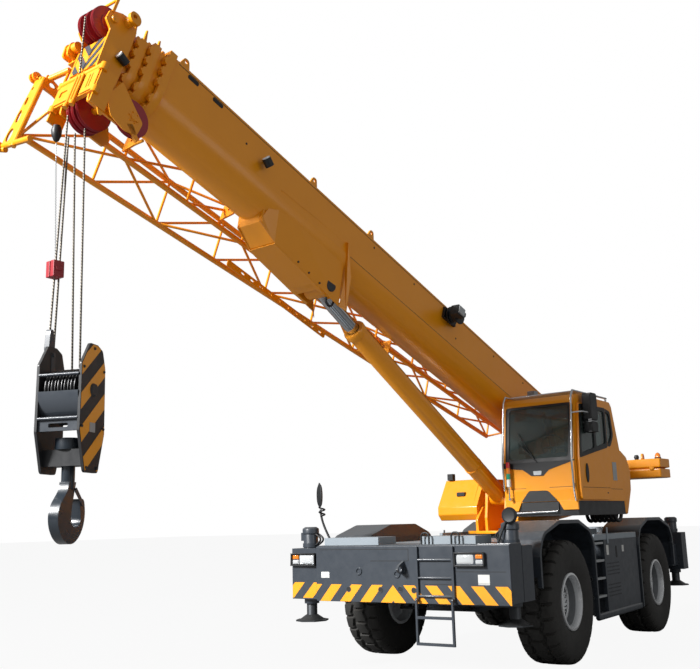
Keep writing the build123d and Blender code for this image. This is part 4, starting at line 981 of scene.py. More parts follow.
# %% Corner mirrors
FAR_MIRROR, NEAR_MIRROR = (3.44, -1.19, 2.12), (3.30, 1.35, 1.80)
STRETCH, COIL_TURNS, COIL_RADIUS = 1.9, 2, 0.035
FAR_DISH = [(-0.012, 0.0), (-0.02, 0.06), (0.0, 0.085), (0.02, 0.07), (0.03, 0.0)]
NEAR_DISH = [(-0.015, 0.0), (-0.025, 0.07), (0.0, 0.095), (0.025, 0.08), (0.04, 0.0)]
t = np.linspace(0, 1, 14)
pole = np.stack([3.42 + 0 * t, -1.06 - 0.13 * np.sin(np.pi / 2 * t), 1.585 + 0.36 * t], -1)
far_place = at(CARRIER, *FAR_MIRROR, forward=(0.59, 0.8, 0), left=(-0.8, 0.59, 0))
points, faces = lathe(far_place, FAR_DISH)
points[:, 2] = FAR_MIRROR[2] + STRETCH * (points[:, 2] - FAR_MIRROR[2])
curl = np.linspace(0, 2 * np.pi * COIL_TURNS, 60)
coil_x, coil_y = 3.42 + COIL_RADIUS * np.cos(curl), -1.17 + COIL_RADIUS * np.sin(curl)
coil = np.stack([coil_x, coil_y, 1.86 + 0.12 * curl / curl[-1]], -1)
shapes = [tube(put(CARRIER, pole), 0.014), (points, faces), tube(put(CARRIER, coil), 0.01)]
shapes += [lathe(facing_forward(CARRIER, *NEAR_MIRROR), NEAR_DISH)]
shapes += [strut(CARRIER, (3.32, 1.2, 1.5), (3.30, 1.33, 1.80), 0.013)]
piece("corner_mirrors", "carrier", PLASTIC, shapes, smooth=50)

# %% [markdown]
# ## Jack columns
# Each jack's cylinder has a cap with a flange, a sensor block and two hoses that loop
# from the cap to the beam's box. Without them it would read as a post. The cap and collar
# are turned profiles, and a hose is a tube along half a wave.

# %% Jack caps and hoses
CAP_HEIGHT, COLLAR_DROP, HOSE_GAP = 1.70, 0.22, 0.03
CAP = [(0, 0.0), (0.03, 0.0), (0.03, 0.07), (0.012, 0.1), (0, 0.105), (-0.05, 0.105), (-0.06, 0.095)]
COLLAR = [(0, 0.09), (0, 0.102), (0.05, 0.102), (0.05, 0.09)]
s = np.linspace(0, 1, 20)
for corner, side in CORNERS:
    low, high = (np.array(c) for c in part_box(f"outrigger_jack_{corner}"))
    x, y = (low[:2] + high[:2]) / 2 - CARRIER[:2, 3]
    post = at(CARRIER, x, y, CAP_HEIGHT, forward=(0, 1, 0), left=(0, 0, 1))
    shapes = [lathe(post, CAP, 28), lathe(at(post, y=-COLLAR_DROP), COLLAR, 28)]
    shapes += [brick(CARRIER, (x - 0.04, x + 0.04), (y - 0.125, y - 0.085), (1.56, 1.66))]
    piece(f"jack_cap_{corner}", f"outrigger_{corner}", SLATE, shapes, smooth=40)
    loop_y = y - side * (0.1 + 0.07 * np.sin(np.pi * s))
    runs = [np.stack([x + gap + 0 * s, loop_y, 1.64 - 0.13 * s], -1) for gap in (-HOSE_GAP, HOSE_GAP)]
    hoses = [tube(put(CARRIER, run), 0.012) for run in runs]
    piece(f"jack_hoses_{corner}", f"outrigger_{corner}", HOSE, hoses, smooth=60)

# %% [markdown]
# ## Boom flank
# The boom's flank is smooth plate with a weld line under its top edge, two long oval slots
# near the nose, a row of bolts and lifting lugs. Slots and welds could be cut or raised in
# the solid. They are a few millimetres deep, so thin dark shapes on the plate paint the
# shade in the slots and along the welds instead.

# %% Boom flank
BOOM_HALF, BOOM_TOP = 0.29, 0.42
NEAR = at(BOOM, y=BOOM_HALF)
BOLTS = [(8.42, 0.2), (6.1, 0.33), (5.2, 0.33), (3.1, 0.33), (2.2, 0.33), (4.1, 0.1)]
BOLT_HEAD = [(0, 0), (0.003, 0), (0.003, 0.013), (0, 0.013)]
# The slots and weld lines are dark shapes of painted shade.
slots = [rounded(rectangle(s - 0.075, s + 0.075, 0.335, 0.385), 0.03) for s in (9.28, 8.92)]
shapes = [slab(NEAR, slot, 0.003) for slot in slots]
shapes.append(brick(NEAR, (1.0, 9.5), (-0.001, 0.002), (0.392, 0.398)))
shapes.append(brick(NEAR, (0.8, 6.5), (-0.001, 0.0015), (-0.045, -0.040)))
shapes += [lathe(at(NEAR, s, 0, h), BOLT_HEAD, 16) for s, h in BOLTS]
piece("boom_slots_and_weld", "boom", GAP_SHADE_BLACK, shapes)
STRIP_SIDES = ((0.25, 0.285), (-0.285, -0.25))
shapes = [brick(BOOM, (0.9, 9.5), across, (0.418, 0.43)) for across in STRIP_SIDES]
lug = rounded([(-0.07, 0), (0.07, 0), (0.03, 0.11), (-0.03, 0.11)], 0.03)
lug_hole = oval(0, 0.07, 0.018, 0.018)
shapes += [pierced(at(BOOM, s, 0.26, BOOM_TOP), lug, [lug_hole], 0.02) for s in (9.42, 7.33, 6.19)]
piece("boom_edge_strips", "boom", YELLOW, shapes, bevel=0.002)

# %% [markdown]
# ## Lift bracket
# The lift cylinder pushes on a bracket that grows out of the round belly: slanted sheets
# fold in to the eye and end in a flange. A block would hide the eye. Folded sheets are
# drawn by their corners, one side mirrored from the other, and a sole closes them below.

# %% Lift bracket
TIP, HEEL = (7.78, 0.292, 0.03), (6.61, 0.292, 0.09)
TOE, KNEE, END = (7.87, 0.17, -0.41), (7.60, 0.195, -0.53), (6.40, 0.2, -0.665)
FLANGE_RUN = [HEEL, (6.61, 0.335, 0.07), (6.42, 0.31, -0.3), (6.31, 0.245, -0.69), END]
FLANGE_RUN += [(6.46, 0.25, -0.3)]
SHEET, FLANGE_SHEET = 0.012, 0.014


def on_side(side, corners):
    """Corners given for the left side, mirrored to the right where side is -1."""
    return [(s, side * y, h) for s, y, h in corners]


for hand, side in (("left", 1), ("right", -1)):
    folded = [
        facet(BOOM, on_side(side, run), -side * SHEET)
        for run in ((TIP, TOE, KNEE), (TIP, KNEE, END, HEEL))
    ]
    folded.append(facet(BOOM, on_side(side, FLANGE_RUN), FLANGE_SHEET))
    piece(f"bracket_sheets_{hand}", "boom", YELLOW, folded, bevel=0.003)
sole = [KNEE, (7.60, -0.195, -0.53), (6.76, -0.2, -0.625), (6.76, 0.2, -0.625)]
piece("bracket_sole", "boom", YELLOW, [facet(BOOM, sole, SHEET)], bevel=0.003)
shapes = []
for side in (1, -1):
    cap = [(0, 0), (side * 0.022, 0), (side * 0.022, 0.075), (0, 0.085)]
    shapes.append(lathe(at(BOOM, 6.614, side * 0.2, -0.5), cap, 24))
SCREW = [(0, 0), (0.014, 0), (0.014, 0.012), (0, 0.012)]
SCREW_SPOTS = [(6.8, -0.58), (7.0, -0.56), (7.2, -0.535)]
shapes += [lathe(at(BOOM, s, 0.2, h), SCREW, 12) for s, h in SCREW_SPOTS]
piece("bracket_pin_caps", "boom", STEEL, shapes, smooth=40)

# %% [markdown]
# ## Reel, work lamp and hoses
# A spring reel pays out the cable of the hoist limit switch. The work lamp hangs on a
# short arm, and two hoses run down the lift cylinder. All could be left off as small
# fittings, but a bare boom looks like a toy. They are turned drums and straight tubes.

# %% Reel, lamp and hoses
REEL = at(BOOM, 4.36, 0.33, 0.3)
DRUM = [(0, 0), (0, 0.1), (0.02, 0.13), (0.035, 0.13), (0.04, 0.09), (0.13, 0.09)]
DRUM += [(0.135, 0.13), (0.15, 0.13), (0.165, 0.05), (0.165, 0)]
shapes = [
    lathe(REEL, DRUM, 40),
    brick(BOOM, (4.2, 4.5), (0.29, 0.33), (0.22, 0.38)),
    brick(BOOM, (4.18, 4.30), (0.33, 0.46), (0.36, 0.42)),
    brick(BOOM, (4.40, 4.55), (0.46, 0.58), (0.20, 0.34)),
]
piece("cable_reel", "boom", PLASTIC, shapes, smooth=40, bevel=0.004)
disc = lathe(at(REEL, y=0.167), [(0, 0), (0.006, 0), (0.006, 0.05), (0, 0.055)], 32)
cover = brick(BOOM, (4.41, 4.54), (0.58, 0.6), (0.22, 0.32))
piece("cable_reel_face", "boom", BARE, [disc, cover])
stalk = strut(BOOM, (8.13, 0.29, 0.17), (8.13, 0.36, 0.15), 0.012)
can = strut(BOOM, (8.10, 0.38, 0.10), (8.18, 0.38, 0.15), 0.05, 24)
piece("work_lamp_body", "boom", PLASTIC, [stalk, can], smooth=40)
lens_disc = strut(BOOM, (8.18, 0.38, 0.15), (8.195, 0.38, 0.16), 0.044, 24)
piece("work_lamp_lens", "boom", LENS_WHITE, [lens_disc], smooth=40)

BARREL_END, BARREL_RADIUS = -0.776, 0.126
hoses = [strut(LIFT, (-4.55, y, 0.137), (-0.95, y, 0.137), 0.011) for y in (-0.03, 0.03)]
piece("lift_hoses", "lift_barrel", HOSE, hoses, smooth=60)
t = np.linspace(0, np.pi, 24)
droop = np.stack([6.5 + 0.02 * t + 0.1 * np.cos(t), 0.16 + 0 * t, -0.6 - 0.12 * np.sin(t)], -1)
piece("bracket_hose_loop", "boom", HOSE, [tube(put(BOOM, droop), 0.014)], smooth=60)
gland = [(-0.09, BARREL_RADIUS), (-0.09, 0.14), (-0.02, 0.145), (0.0, 0.135), (0.0, 0.1)]
hose_clip = [(0, BARREL_RADIUS), (0, 0.133), (0.04, 0.133), (0.04, BARREL_RADIUS)]
along_barrel = {"forward": (0, 0, 1), "left": (1, 0, 0)}
shapes = [lathe(at(LIFT, BARREL_END, **along_barrel), gland, 40)]
shapes += [lathe(at(LIFT, -3.9, **along_barrel), hose_clip, 40)]
piece("lift_gland", "lift_barrel", YELLOW, shapes, smooth=40)
sleeve = [(-0.1205, 0.09), (-0.1205, 0.1215), (0.1205, 0.1215), (0.1205, 0.09)]
piece("rod_eye_sleeve", "lift_rod", YELLOW, [lathe(LIFT, sleeve, closed=True)], smooth=40)

# %% [markdown]
# ## Nose collars
# Each section slides through the nose of the one outside it on screwed wear pads. The
# pads stand as knobs round the collar's face, with bolt heads, and give the nose its
# scalloped look. They could be placed one by one. Here they follow the section's outline,
# which has straight sides and a round belly.

# %% Wear pads
SHOULDER = -0.04
PAD = rounded([(0, -0.05), (0.032, -0.035), (0.032, 0.035), (0, 0.05)], 0.015)
SIDE_HEIGHTS, BELLY_ANGLES = (0.30, 0.17, 0.03), np.radians((25, 50, 75, 105, 130, 155))


def pad_ring(nose, inset):
    """Knobs and bolts round a collar: the side at |y| = half, the belly on a half circle."""
    half, top = BOOM_HALF - inset, BOOM_TOP - inset
    spots = [(half, h, 0.0) for h in SIDE_HEIGHTS]
    spots += [(half * np.cos(a), SHOULDER - half * np.sin(a), a) for a in BELLY_ANGLES]
    spots += [(-half, h, np.pi) for h in reversed(SIDE_HEIGHTS)]
    shapes = []
    for y, h, lean in spots:
        out = (0, np.cos(lean), -np.sin(lean))
        place = at(BOOM, nose, y, h, forward=(1, 0, 0), left=out)
        shapes.append(slab(at(place, y=-0.028), PAD, 0.06))
        shapes.append(strut(place, (0.0, 0.018, 0.0), (0.045, 0.018, 0.0), 0.013, 8))
    for y in (-0.18, -0.07, 0.07, 0.18):
        across, height = (y - 0.03, y + 0.03), (top - 0.02, top + 0.035)
        shapes.append(brick(BOOM, (nose, nose + 0.03), across, height))
    return shapes


NOSES = [(9.64, 0.0, "boom"), (9.81, 0.037, "telescope_2"), (9.94, 0.074, "telescope_3")]
for nose, inset, body in NOSES:
    pads = pad_ring(nose, inset)
    piece(f"wear_pads_{body}", body, YELLOW, pads, smooth=40, bevel=0.002)

# %% [markdown]
# ## Front of the boom head
# The head carries the sheaves, and its front board is barred in slate and yellow. The bars
# are sheets of paint, as on the carrier. The lead rope runs down in front of the board,
# and red hubs close the ends of the top sheaves' pin.

# %% Front board
HEAD_FRONT = facing_forward(BOOM, 10.252)
head_bars = bars(-0.228, 0.128, -0.192, 0.192, -0.30, 0.075, 0.15)
piece("head_bars", "telescope_4", SLATE, sheets(HEAD_FRONT, head_bars, 0.003))
lead = strut(BOOM, (10.43, 0.0, 0.30), (10.262, -0.01, -0.27), 0.009)
piece("lead_rope", "telescope_4", WIRE, [lead], smooth=60)
hub = [(0, 0.04), (0, 0.085), (0.012, 0.075), (0.012, 0.04)]
hubs = [lathe(at(BOOM, 10.26, y, 0.32), hub, 32) for y in (0.12, -0.132)]
piece("top_sheave_hubs", "telescope_4", RED, hubs, smooth=40)

# %% [markdown]
# ## Rope guide
# Below the front board a welded frame guides the ropes past the low sheaves. It could be a
# single plate, but its round corner posts and rollers catch the light. So it's built as
# it's welded: posts, rollers, two plates with slots, and a cheek on each side.

# %% Rope guide
LEFT_POST, RIGHT_POST = 0.31, -0.34


def boss(s, y, low, high, radius):
    """An upright round post in the head's frame."""
    return strut(BOOM, (s, y, low), (s, y, high), radius, 20)


shapes = [strut(BOOM, (10.225, LEFT_POST, -0.275), (10.225, RIGHT_POST, -0.275), 0.03, 16)]
for y in (LEFT_POST, RIGHT_POST):
    shapes += [boss(10.215, y, -0.33, -0.25, 0.04), boss(10.215, y, -0.60, -0.53, 0.04)]
shapes += [boss(10.245, y, -0.62, -0.26, 0.015) for y in (0.045, -0.005, -0.055)]
shapes += [boss(10.245, y, -0.66, -0.62, 0.026) for y in (0.045, -0.055)]
slots = [rounded(rectangle(x - 0.008, x + 0.008, -0.5, -0.34), 0.006) for x in (0.17, 0.21)]
face = facing_forward(BOOM, 10.234)
shapes.append(pierced(face, rectangle(0.09, 0.3, -0.55, -0.29), slots, -0.008))
window = rounded(rectangle(-0.27, -0.16, -0.46, -0.39), 0.015)
shapes.append(pierced(face, rectangle(-0.34, -0.1, -0.54, -0.31), [window], -0.008))
cheek = [(10.06, -0.28), (10.22, -0.28), (10.22, -0.56), (10.10, -0.76), (10.06, -0.74)]
cheek = rounded(cheek, 0.02)
shapes += [slab(at(BOOM, y=0.3), cheek, 0.012), slab(at(BOOM, y=-0.34), cheek, -0.012)]
piece("rope_guide_frame", "telescope_4", YELLOW, shapes, smooth=40, bevel=0.003)

# %% [markdown]
# ## Side plate and ears
# On the left a bolted cover plate holds the side sheave. The ears above take the pins of
# the jib when it's swung to the front. Ears could be boxes with pins stuck on, but the
# hole is what makes an ear, so each is an outline with a hole. Cast ears are thick, and
# their corners are rounder than those of cut plates.

# %% Side plate, ears and lamp
COVER = [(9.98, -0.26), (10.08, -0.50), (9.98, -0.66), (9.80, -0.70)]
COVER += [(9.66, -0.66), (9.64, -0.50), (9.76, -0.42)]
NUT = [(0, 0), (0.01, 0), (0.01, 0.009), (0, 0.01)]
shapes = [slab(at(BOOM, y=0.278), rounded(COVER, 0.03), 0.014)]
ring_s, ring_h = 9.75 + 0.055 * np.cos(round_turn(6)), -0.51 + 0.055 * np.sin(round_turn(6))
shapes += [lathe(at(BOOM, s, 0.292, h), NUT, 6) for s, h in zip(ring_s, ring_h)]
shapes += [brick(BOOM, (9.70, 9.78), (0.292, 0.305), (-0.535, -0.515))]
arm = rounded([(9.60, -0.70), (9.64, -0.72), (9.80, -0.62), (9.74, -0.58)], 0.015)
shapes += [slab(at(BOOM, y=0.262), arm, 0.03)]
shapes += [strut(BOOM, (9.62, 0.24, -0.71), (9.62, 0.36, -0.71), 0.016)]
ear = [(-0.07, -0.05), (0.03, -0.05), (0.07, 0.0), (0.05, 0.06), (-0.02, 0.07), (-0.07, 0.03)]
ear_hole = oval(0.01, 0.015, 0.022, 0.022)
shapes += [pierced(at(BOOM, 10.12, 0.292, 0.41), rounded(ear, 0.04), [ear_hole], 0.04)]
fork = rounded([(-0.05, -0.12), (0.05, -0.12), (0.06, 0.03), (0.0, 0.075), (-0.06, 0.03)], 0.035)
fork_hole = oval(0, 0.02, 0.02, 0.02)
shapes += [pierced(at(BOOM, 10.29, y, 0.14), fork, [fork_hole], 0.025) for y in (-0.36, -0.29)]
shapes += [brick(BOOM, (10.2, 10.25), (-0.36, -0.2), (0.0, 0.06))]
shapes += [strut(BOOM, (10.02, y, 0.44), (10.22, y, 0.44), 0.01, 8) for y in (-0.12, 0.0, 0.12)]
piece("head_ears_and_plates", "telescope_4", YELLOW, shapes, smooth=40, bevel=0.002)
LAMP_BACK, LAMP_FRONT = (10.0, 0.25, -0.03), (10.1, 0.26, -0.01)
can = strut(BOOM, LAMP_BACK, LAMP_FRONT, 0.042, 24)
piece("head_lamp", "telescope_4", PLASTIC, [can], smooth=40)
lens_disc = strut(BOOM, LAMP_FRONT, (10.112, 0.261, -0.008), 0.038, 24)
piece("head_lamp_lens", "telescope_4", LENS_WHITE, [lens_disc], smooth=40)

# %% [markdown]
# ## Limit switch
# A black cone under the frame's right corner stops the winch when the block lifts the red
# weight. It could be turned in the boom's frame, but it hangs plumb whatever the boom
# does, so it's turned round a true upright.

# %% Limit switch
switch_top = put(BOOM, (10.14, -0.30, -0.70))
cone = [(0, 0.0), (0, 0.035), (-0.05, 0.05), (-0.1, 0.045), (-0.15, 0.025), (-0.17, 0.0)]
piece("limit_switch", "telescope_4", PLASTIC, [upright_turned(switch_top, cone)], smooth=50)

# %% [markdown]
# ## Jib foot
# The lattice jib's wide end has forked ears above and below. Its end frame is a tall
# pressed plate with lightening holes that grow towards the bottom, between tubes. Tubes
# and plates are cheap, so each one that shows is made, and the truss behind is a solid.

# %% Jib foot
END_PLATE = rounded([(-1.02, -0.76), (-0.80, -0.86), (-0.77, -0.02), (-0.90, 0.02)], 0.03)
LIGHTENING = [
    oval(-0.935, -0.68, 0.05, 0.085, 0.1),
    oval(-0.915, -0.45, 0.035, 0.085, 0.1),
    oval(-0.895, -0.26, 0.024, 0.055, 0.1),
    oval(-0.88, -0.1, 0.016, 0.022),
]
FORK, FORK_HOLE = oval(0, 0, 0.055, 0.05), oval(0.01, 0.0, 0.018, 0.018)
shapes = [
    pierced(facing_forward(BOOM, 10.24), END_PLATE, LIGHTENING, -0.02),
    strut(BOOM, (10.24, -0.79, -0.86), (10.24, -0.76, 0.0), 0.028, 14),
    strut(BOOM, (10.24, -1.02, -0.78), (10.24, -0.5, -0.86), 0.03, 14),
    strut(BOOM, (10.22, -0.88, 0.0), (10.16, -0.48, 0.06), 0.03, 14),
]
for s, y, h in ((10.27, -1.06, -0.80), (10.26, -0.93, 0.06)):
    forks = [at(BOOM, s, y + aside, h) for aside in (-0.035, 0.02)]
    shapes += [pierced(place, FORK, [FORK_HOLE], 0.022) for place in forks]
    shapes += [strut(BOOM, (s - 0.03, y, h), (10.22, y + 0.09, h - 0.02), 0.03)]
side_plate = rounded([(9.95, -0.02), (10.24, 0.05), (10.24, -0.1), (10.05, -0.14)], 0.02)
shapes += [pierced(at(BOOM, y=-0.75), side_plate, [oval(10.15, -0.03, 0.035, 0.028)], 0.016)]
piece("jib_foot_frame", "boom", YELLOW, shapes, smooth=40, bevel=0.002)

# %% [markdown]
# ## Jib supports
# Three plates stand out from the boom's right flank and carry the stowed jib, and a bar
# with a row of holes locks it at the right length. The holes are cut through, because
# light shows in them from the side.

# %% Jib supports
support = rounded([(-0.12, -0.2), (0.1, -0.16), (0.12, 0.14), (-0.1, 0.12)], 0.03)
support_holes = [oval(0, 0.05, 0.03, 0.03), oval(0, -0.08, 0.02, 0.02)]
places = [facing_forward(BOOM, s, -0.42, h) for s, h in ((7.86, 0.0), (4.74, -0.3), (9.3, -0.1))]
shapes = [pierced(place, support, support_holes, 0.02) for place in places]
lock_bar = rounded(rectangle(5.8, 7.6, -0.66, -0.58), 0.02)
lock_holes = [oval(s, -0.62, 0.03, 0.014) for s in np.arange(5.9, 7.5, 0.16)]
shapes.append(pierced(at(BOOM, y=-0.52), lock_bar, lock_holes, 0.014))
piece("jib_supports", "boom", YELLOW, shapes, bevel=0.002)

# %% [markdown]
# ## Hook block
# The block is five sheaves between two cheek plates. Slanting bars warn on the outside of
# the cheeks. A cheek isn't a rectangle, so the bars can't just end at two lines: each is a
# long strip, clipped edge by edge to a slightly smaller copy of the cheek's outline.

# %% Hook block
TURN = np.radians(25)
block_forward = FORWARD * np.cos(TURN) + LEFT * np.sin(TURN)
block_left = LEFT * np.cos(TURN) - FORWARD * np.sin(TURN)
BLOCK = axes(swivel, block_forward, block_left)
CHEEK_FACE, GUARD_HALF = 0.211, 0.186
CHEEK = [(-0.15, 0.30), (-0.06, 0.34), (0.07, 0.34), (0.2, 0.15), (0.21, -0.42)]
CHEEK += [(0.11, -0.76), (-0.11, -0.76), (-0.21, -0.42), (-0.2, 0.15)]


def clip(outline, window):
    """The part of a convex outline inside a clockwise convex window, cut edge by edge."""
    for a, b in zip(window, window[1:] + window[:1]):
        kept = []
        side = [(b[0] - a[0]) * (p[1] - a[1]) - (b[1] - a[1]) * (p[0] - a[0]) for p in outline]
        after = outline[1:] + outline[:1]
        for p, q, s, t in zip(outline, after, side, side[1:] + side[:1]):
            if s <= 0:
                kept.append(p)
            if s * t < 0:
                share = s / (s - t)
                kept.append((p[0] + (q[0] - p[0]) * share, p[1] + (q[1] - p[1]) * share))
        outline = kept
        if len(outline) < 3:
            return []
    return outline


window = [(0.965 * x, 0.98 * z) for x, z in CHEEK]
BAR_HEIGHTS = np.arange(-1.2, 0.4, 0.29)
strips = [[(0.3, z), (-0.3, z + 0.5), (-0.3, z + 0.64), (0.3, z + 0.14)] for z in BAR_HEIGHTS]
slants = [run for run in (clip(strip, window) for strip in strips) if len(run) > 2]
for hand, side in (("left", 1), ("right", -1)):
    outside = at(BLOCK, y=side * CHEEK_FACE)
    painted = [slab(outside, run, side * 0.0015) for run in slants]
    piece(f"block_bars_{hand}", "hook_block", STRIPE, painted)
BOLT_SPOTS = [(0.17, 0.12), (-0.17, 0.12), (0.18, -0.38), (-0.18, -0.38)]
BOLT_SPOTS += [(0.09, -0.72), (-0.09, -0.72), (0, 0.3)]
shapes, caps = [], []
for side in (1, -1):
    outside = at(BLOCK, y=side * CHEEK_FACE)
    bolt = [(0, 0), (side * 0.012, 0), (side * 0.012, 0.012), (0, 0.014)]
    cap = [(0, 0), (side * 0.02, 0), (side * 0.02, 0.05), (0, 0.06)]
    shapes += [lathe(at(outside, x, 0, z), bolt, 6) for x, z in BOLT_SPOTS]
    caps.append(lathe(at(outside, z=-0.06), cap, 28))
piece("block_bolts", "hook_block", STEEL, shapes + caps, smooth=40)
blank = brick(BLOCK, (-0.04, 0.05), (0.213, 0.216), (-0.42, -0.34))
piece("block_blank_plate", "hook_block", BARE, [blank])

# %% [markdown]
# ## Sheave guards and cross bars
# A rolled guard covers the lower half of the sheaves at each end, and round bars hold the
# cheeks apart. The guard could be a bent plane with a Solidify modifier, but as two arcs
# joined it's one outline, thick from the start, and its mirror image makes the other.

# %% Sheave guards and cross bars
SHEAVE_HEIGHT = -0.06


def arc_run(radius, height, angles):
    """Points of an arc round the sheaves' pin, a little less tall than wide."""
    return np.stack([radius * np.cos(angles), SHEAVE_HEIGHT + height * np.sin(angles)], -1)


bend = np.linspace(np.radians(-4), np.radians(-54), 12)
guard = np.vstack([arc_run(0.215, 0.30, bend), arc_run(0.203, 0.288, bend[::-1])])
guard_side = at(BLOCK, y=-GUARD_HALF)
rolled = [slab(guard_side, guard * (way, 1), 2 * GUARD_HALF) for way in (1, -1)]
piece("sheave_guards", "hook_block", SLATE, rolled, smooth=50)
bar_outline = rounded(rectangle(-GUARD_HALF, GUARD_HALF, -0.415, -0.325), 0.01)
bar_slot = rounded(rectangle(-0.09, 0.09, -0.385, -0.35), 0.012)
shapes = [pierced(facing_forward(BLOCK, 0.19), bar_outline, [bar_slot], 0.03)]
for x, z in ((0.2, -0.31), (0.2, 0.06), (-0.2, 0.06), (-0.2, -0.31)):
    shapes.append(strut(BLOCK, (x, -GUARD_HALF, z), (x, GUARD_HALF, z), 0.014))
piece("block_cross_parts", "hook_block", SLATE, shapes, smooth=40, bevel=0.002)

# %% [markdown]
# ## Rope socket, red weight and chain
# The rope's dead end is wedged in a socket over the far cheek and runs up to the head. A
# red weight rides on it, and a chain from the weight holds the limit switch. Links could
# be modelled one by one. This chain is a few millimetres thick, so it's a thin tube on a
# tight spiral, which catches the light as links do.

# %% Rope socket, red weight and chain
WEDGE = [(-0.035, 0.22), (0.035, 0.22), (0.045, 0.33), (0.03, 0.46), (0.018, 0.50)]
WEDGE += [(-0.018, 0.50), (-0.03, 0.46), (-0.045, 0.33)]
shapes = [slab(at(BLOCK, y=-0.25), rounded(WEDGE, 0.015), 0.05)]
tongue = rounded(rectangle(-0.03, 0.03, 0.10, 0.28), 0.02)
shapes += [slab(at(BLOCK, y=-0.27), tongue, 0.09)]
shapes += [strut(BLOCK, (0, -0.28, 0.27), (0, -0.17, 0.27), 0.02)]
piece("rope_socket", "hook_block", SLATE, shapes, smooth=40, bevel=0.003)
ROPE_RADIUS, WEIGHT_ABOVE, WEIGHT_HALF = 0.009, 0.55, 0.075
foot, head = put(BLOCK, (0.0, -0.225, 0.50)), put(BOOM, (10.16, -0.12, -0.66))
dead_end = tube([foot, head], ROPE_RADIUS)
piece("dead_end_rope", "hook_block", WIRE, [dead_end], smooth=60)
spot = foot + WEIGHT_ABOVE / (head[2] - foot[2]) * (head - foot)
hang = axes(spot, FORWARD, LEFT)
tall = (-WEIGHT_HALF, WEIGHT_HALF)
halves = [brick(hang, (-0.055, 0.055), y, tall) for y in ((-0.06, -0.006), (0.006, 0.06))]
belt = brick(hang, (-0.03, 0.03), (-0.07, 0.07), (-0.02, 0.02))
piece("limit_weight", "hook_block", RED, [*halves, belt], bevel=0.006)
chain_top, chain_foot = switch_top + (0, 0, -0.17), spot + (0, 0, WEIGHT_HALF)
t = np.linspace(0, 1, 90)
spiral = 0.006 * np.stack([np.cos(t * 280), np.sin(t * 280), 0 * t], -1)
chain = chain_foot + t[:, None] * (chain_top - chain_foot) + spiral
piece("limit_chain", "hook_block", BARE, [tube(chain, 0.004, 6)], smooth=60)

# %% [markdown]
# ## Hook latch
# A sprung latch closes the hook's throat, pivoted on the shank and resting on the nose. It
# could be one plate down the middle, but it straddles the shank, so there are two plates
# and a pin. It turns with the hook.

# %% Hook latch
THROAT = at(BLOCK, z=-0.70)
latch = rounded([(-0.05, -0.17), (-0.03, -0.21), (-0.17, -0.335), (-0.2, -0.32)], 0.012)
shapes = [slab(at(THROAT, y=y), latch, 0.006) for y in (-0.054, 0.048)]
shapes += [strut(THROAT, (-0.045, -0.06, -0.19), (-0.045, 0.06, -0.19), 0.011)]
piece("hook_latch", "hook", SLATE, shapes, smooth=40)

# %% [markdown]
# ## Window surrounds
# The cab's glass sits in black rubber and plastic. The surrounds could be painted on the
# shell, but they cover the glass's edge, so they are thin plates with openings, drawn on
# the real planes of the shell. The mask under the windscreen dips in a V round a blank
# badge place.

# %% Window surrounds
CAB_FACE, CAB_SIDE, DOOR_SIDE = 1.002, 1.45, 1.491
SCREEN = at(UPPER, CAB_FACE, 0, 2.52, forward=(0, 1, 0), left=(-0.9908, 0, -0.1356))
CAB_FRONT = facing_forward(UPPER, CAB_FACE)
DOOR = at(UPPER, y=DOOR_SIDE)
SHELL = at(UPPER, y=CAB_SIDE)
BLEND, THIN = 0.05, 0.0015
around = rounded(rectangle(0.40, 1.42, 0.0, 0.80), BLEND)
pane = rounded(rectangle(0.455, 1.355, 0.05, 0.765), BLEND)
MASK = [(0.37, 2.53), (0.37, 2.455), (0.66, 2.425), (0.79, 2.335), (0.97, 2.33)]
MASK += [(1.06, 2.41), (1.44, 2.515), (1.44, 2.53)]
screen_frame = [pierced(SCREEN, around, [pane], -0.006), slab(CAB_FRONT, MASK, -0.004)]
piece("window_surrounds", "upper_works", PLASTIC, screen_frame)
DOOR_EDGE = [(0.94, 2.545), (0.85, 3.29), (-0.01, 3.29), (-0.01, 2.725), (0.40, 2.65)]
FRONT_PANE = [(0.866, 2.612), (0.81, 3.236), (0.434, 3.236), (0.434, 2.703)]
BACK_PANE = [(0.366, 2.716), (0.366, 3.236), (0.044, 3.236), (0.044, 2.784)]
panes = [rounded(run, BLEND) for run in (FRONT_PANE, BACK_PANE)]
door_frame = pierced(at(DOOR, y=-0.0355), rounded(DOOR_EDGE, 0.04), panes, 0.0385)
piece("door_surrounds", "cab_door", PLASTIC, [door_frame])
QUARTER_EDGE = [(-0.025, 2.75), (-0.025, 3.31), (-0.28, 3.265), (-0.34, 2.92), (-0.215, 2.75)]
QUARTER_PANE = [(-0.072, 2.802), (-0.072, 3.258), (-0.24, 3.22), (-0.286, 2.925), (-0.194, 2.802)]
quarter_edge, quarter_pane = rounded(QUARTER_EDGE, BLEND), rounded(QUARTER_PANE, BLEND)
quarter = pierced(at(SHELL, y=-0.042), quarter_edge, [quarter_pane], 0.045)
piece("quarter_surround", "upper_works", PLASTIC, [quarter])

# %% [markdown]
# ## Front panel of the cab
# The panel steps down on both sides of a black recess for the signal tower, and pressed
# creases stiffen it. A crease could be a bent edge in the shell. It's only a line at any
# distance, so it's a thin dark strip of painted shade, as are the door's.

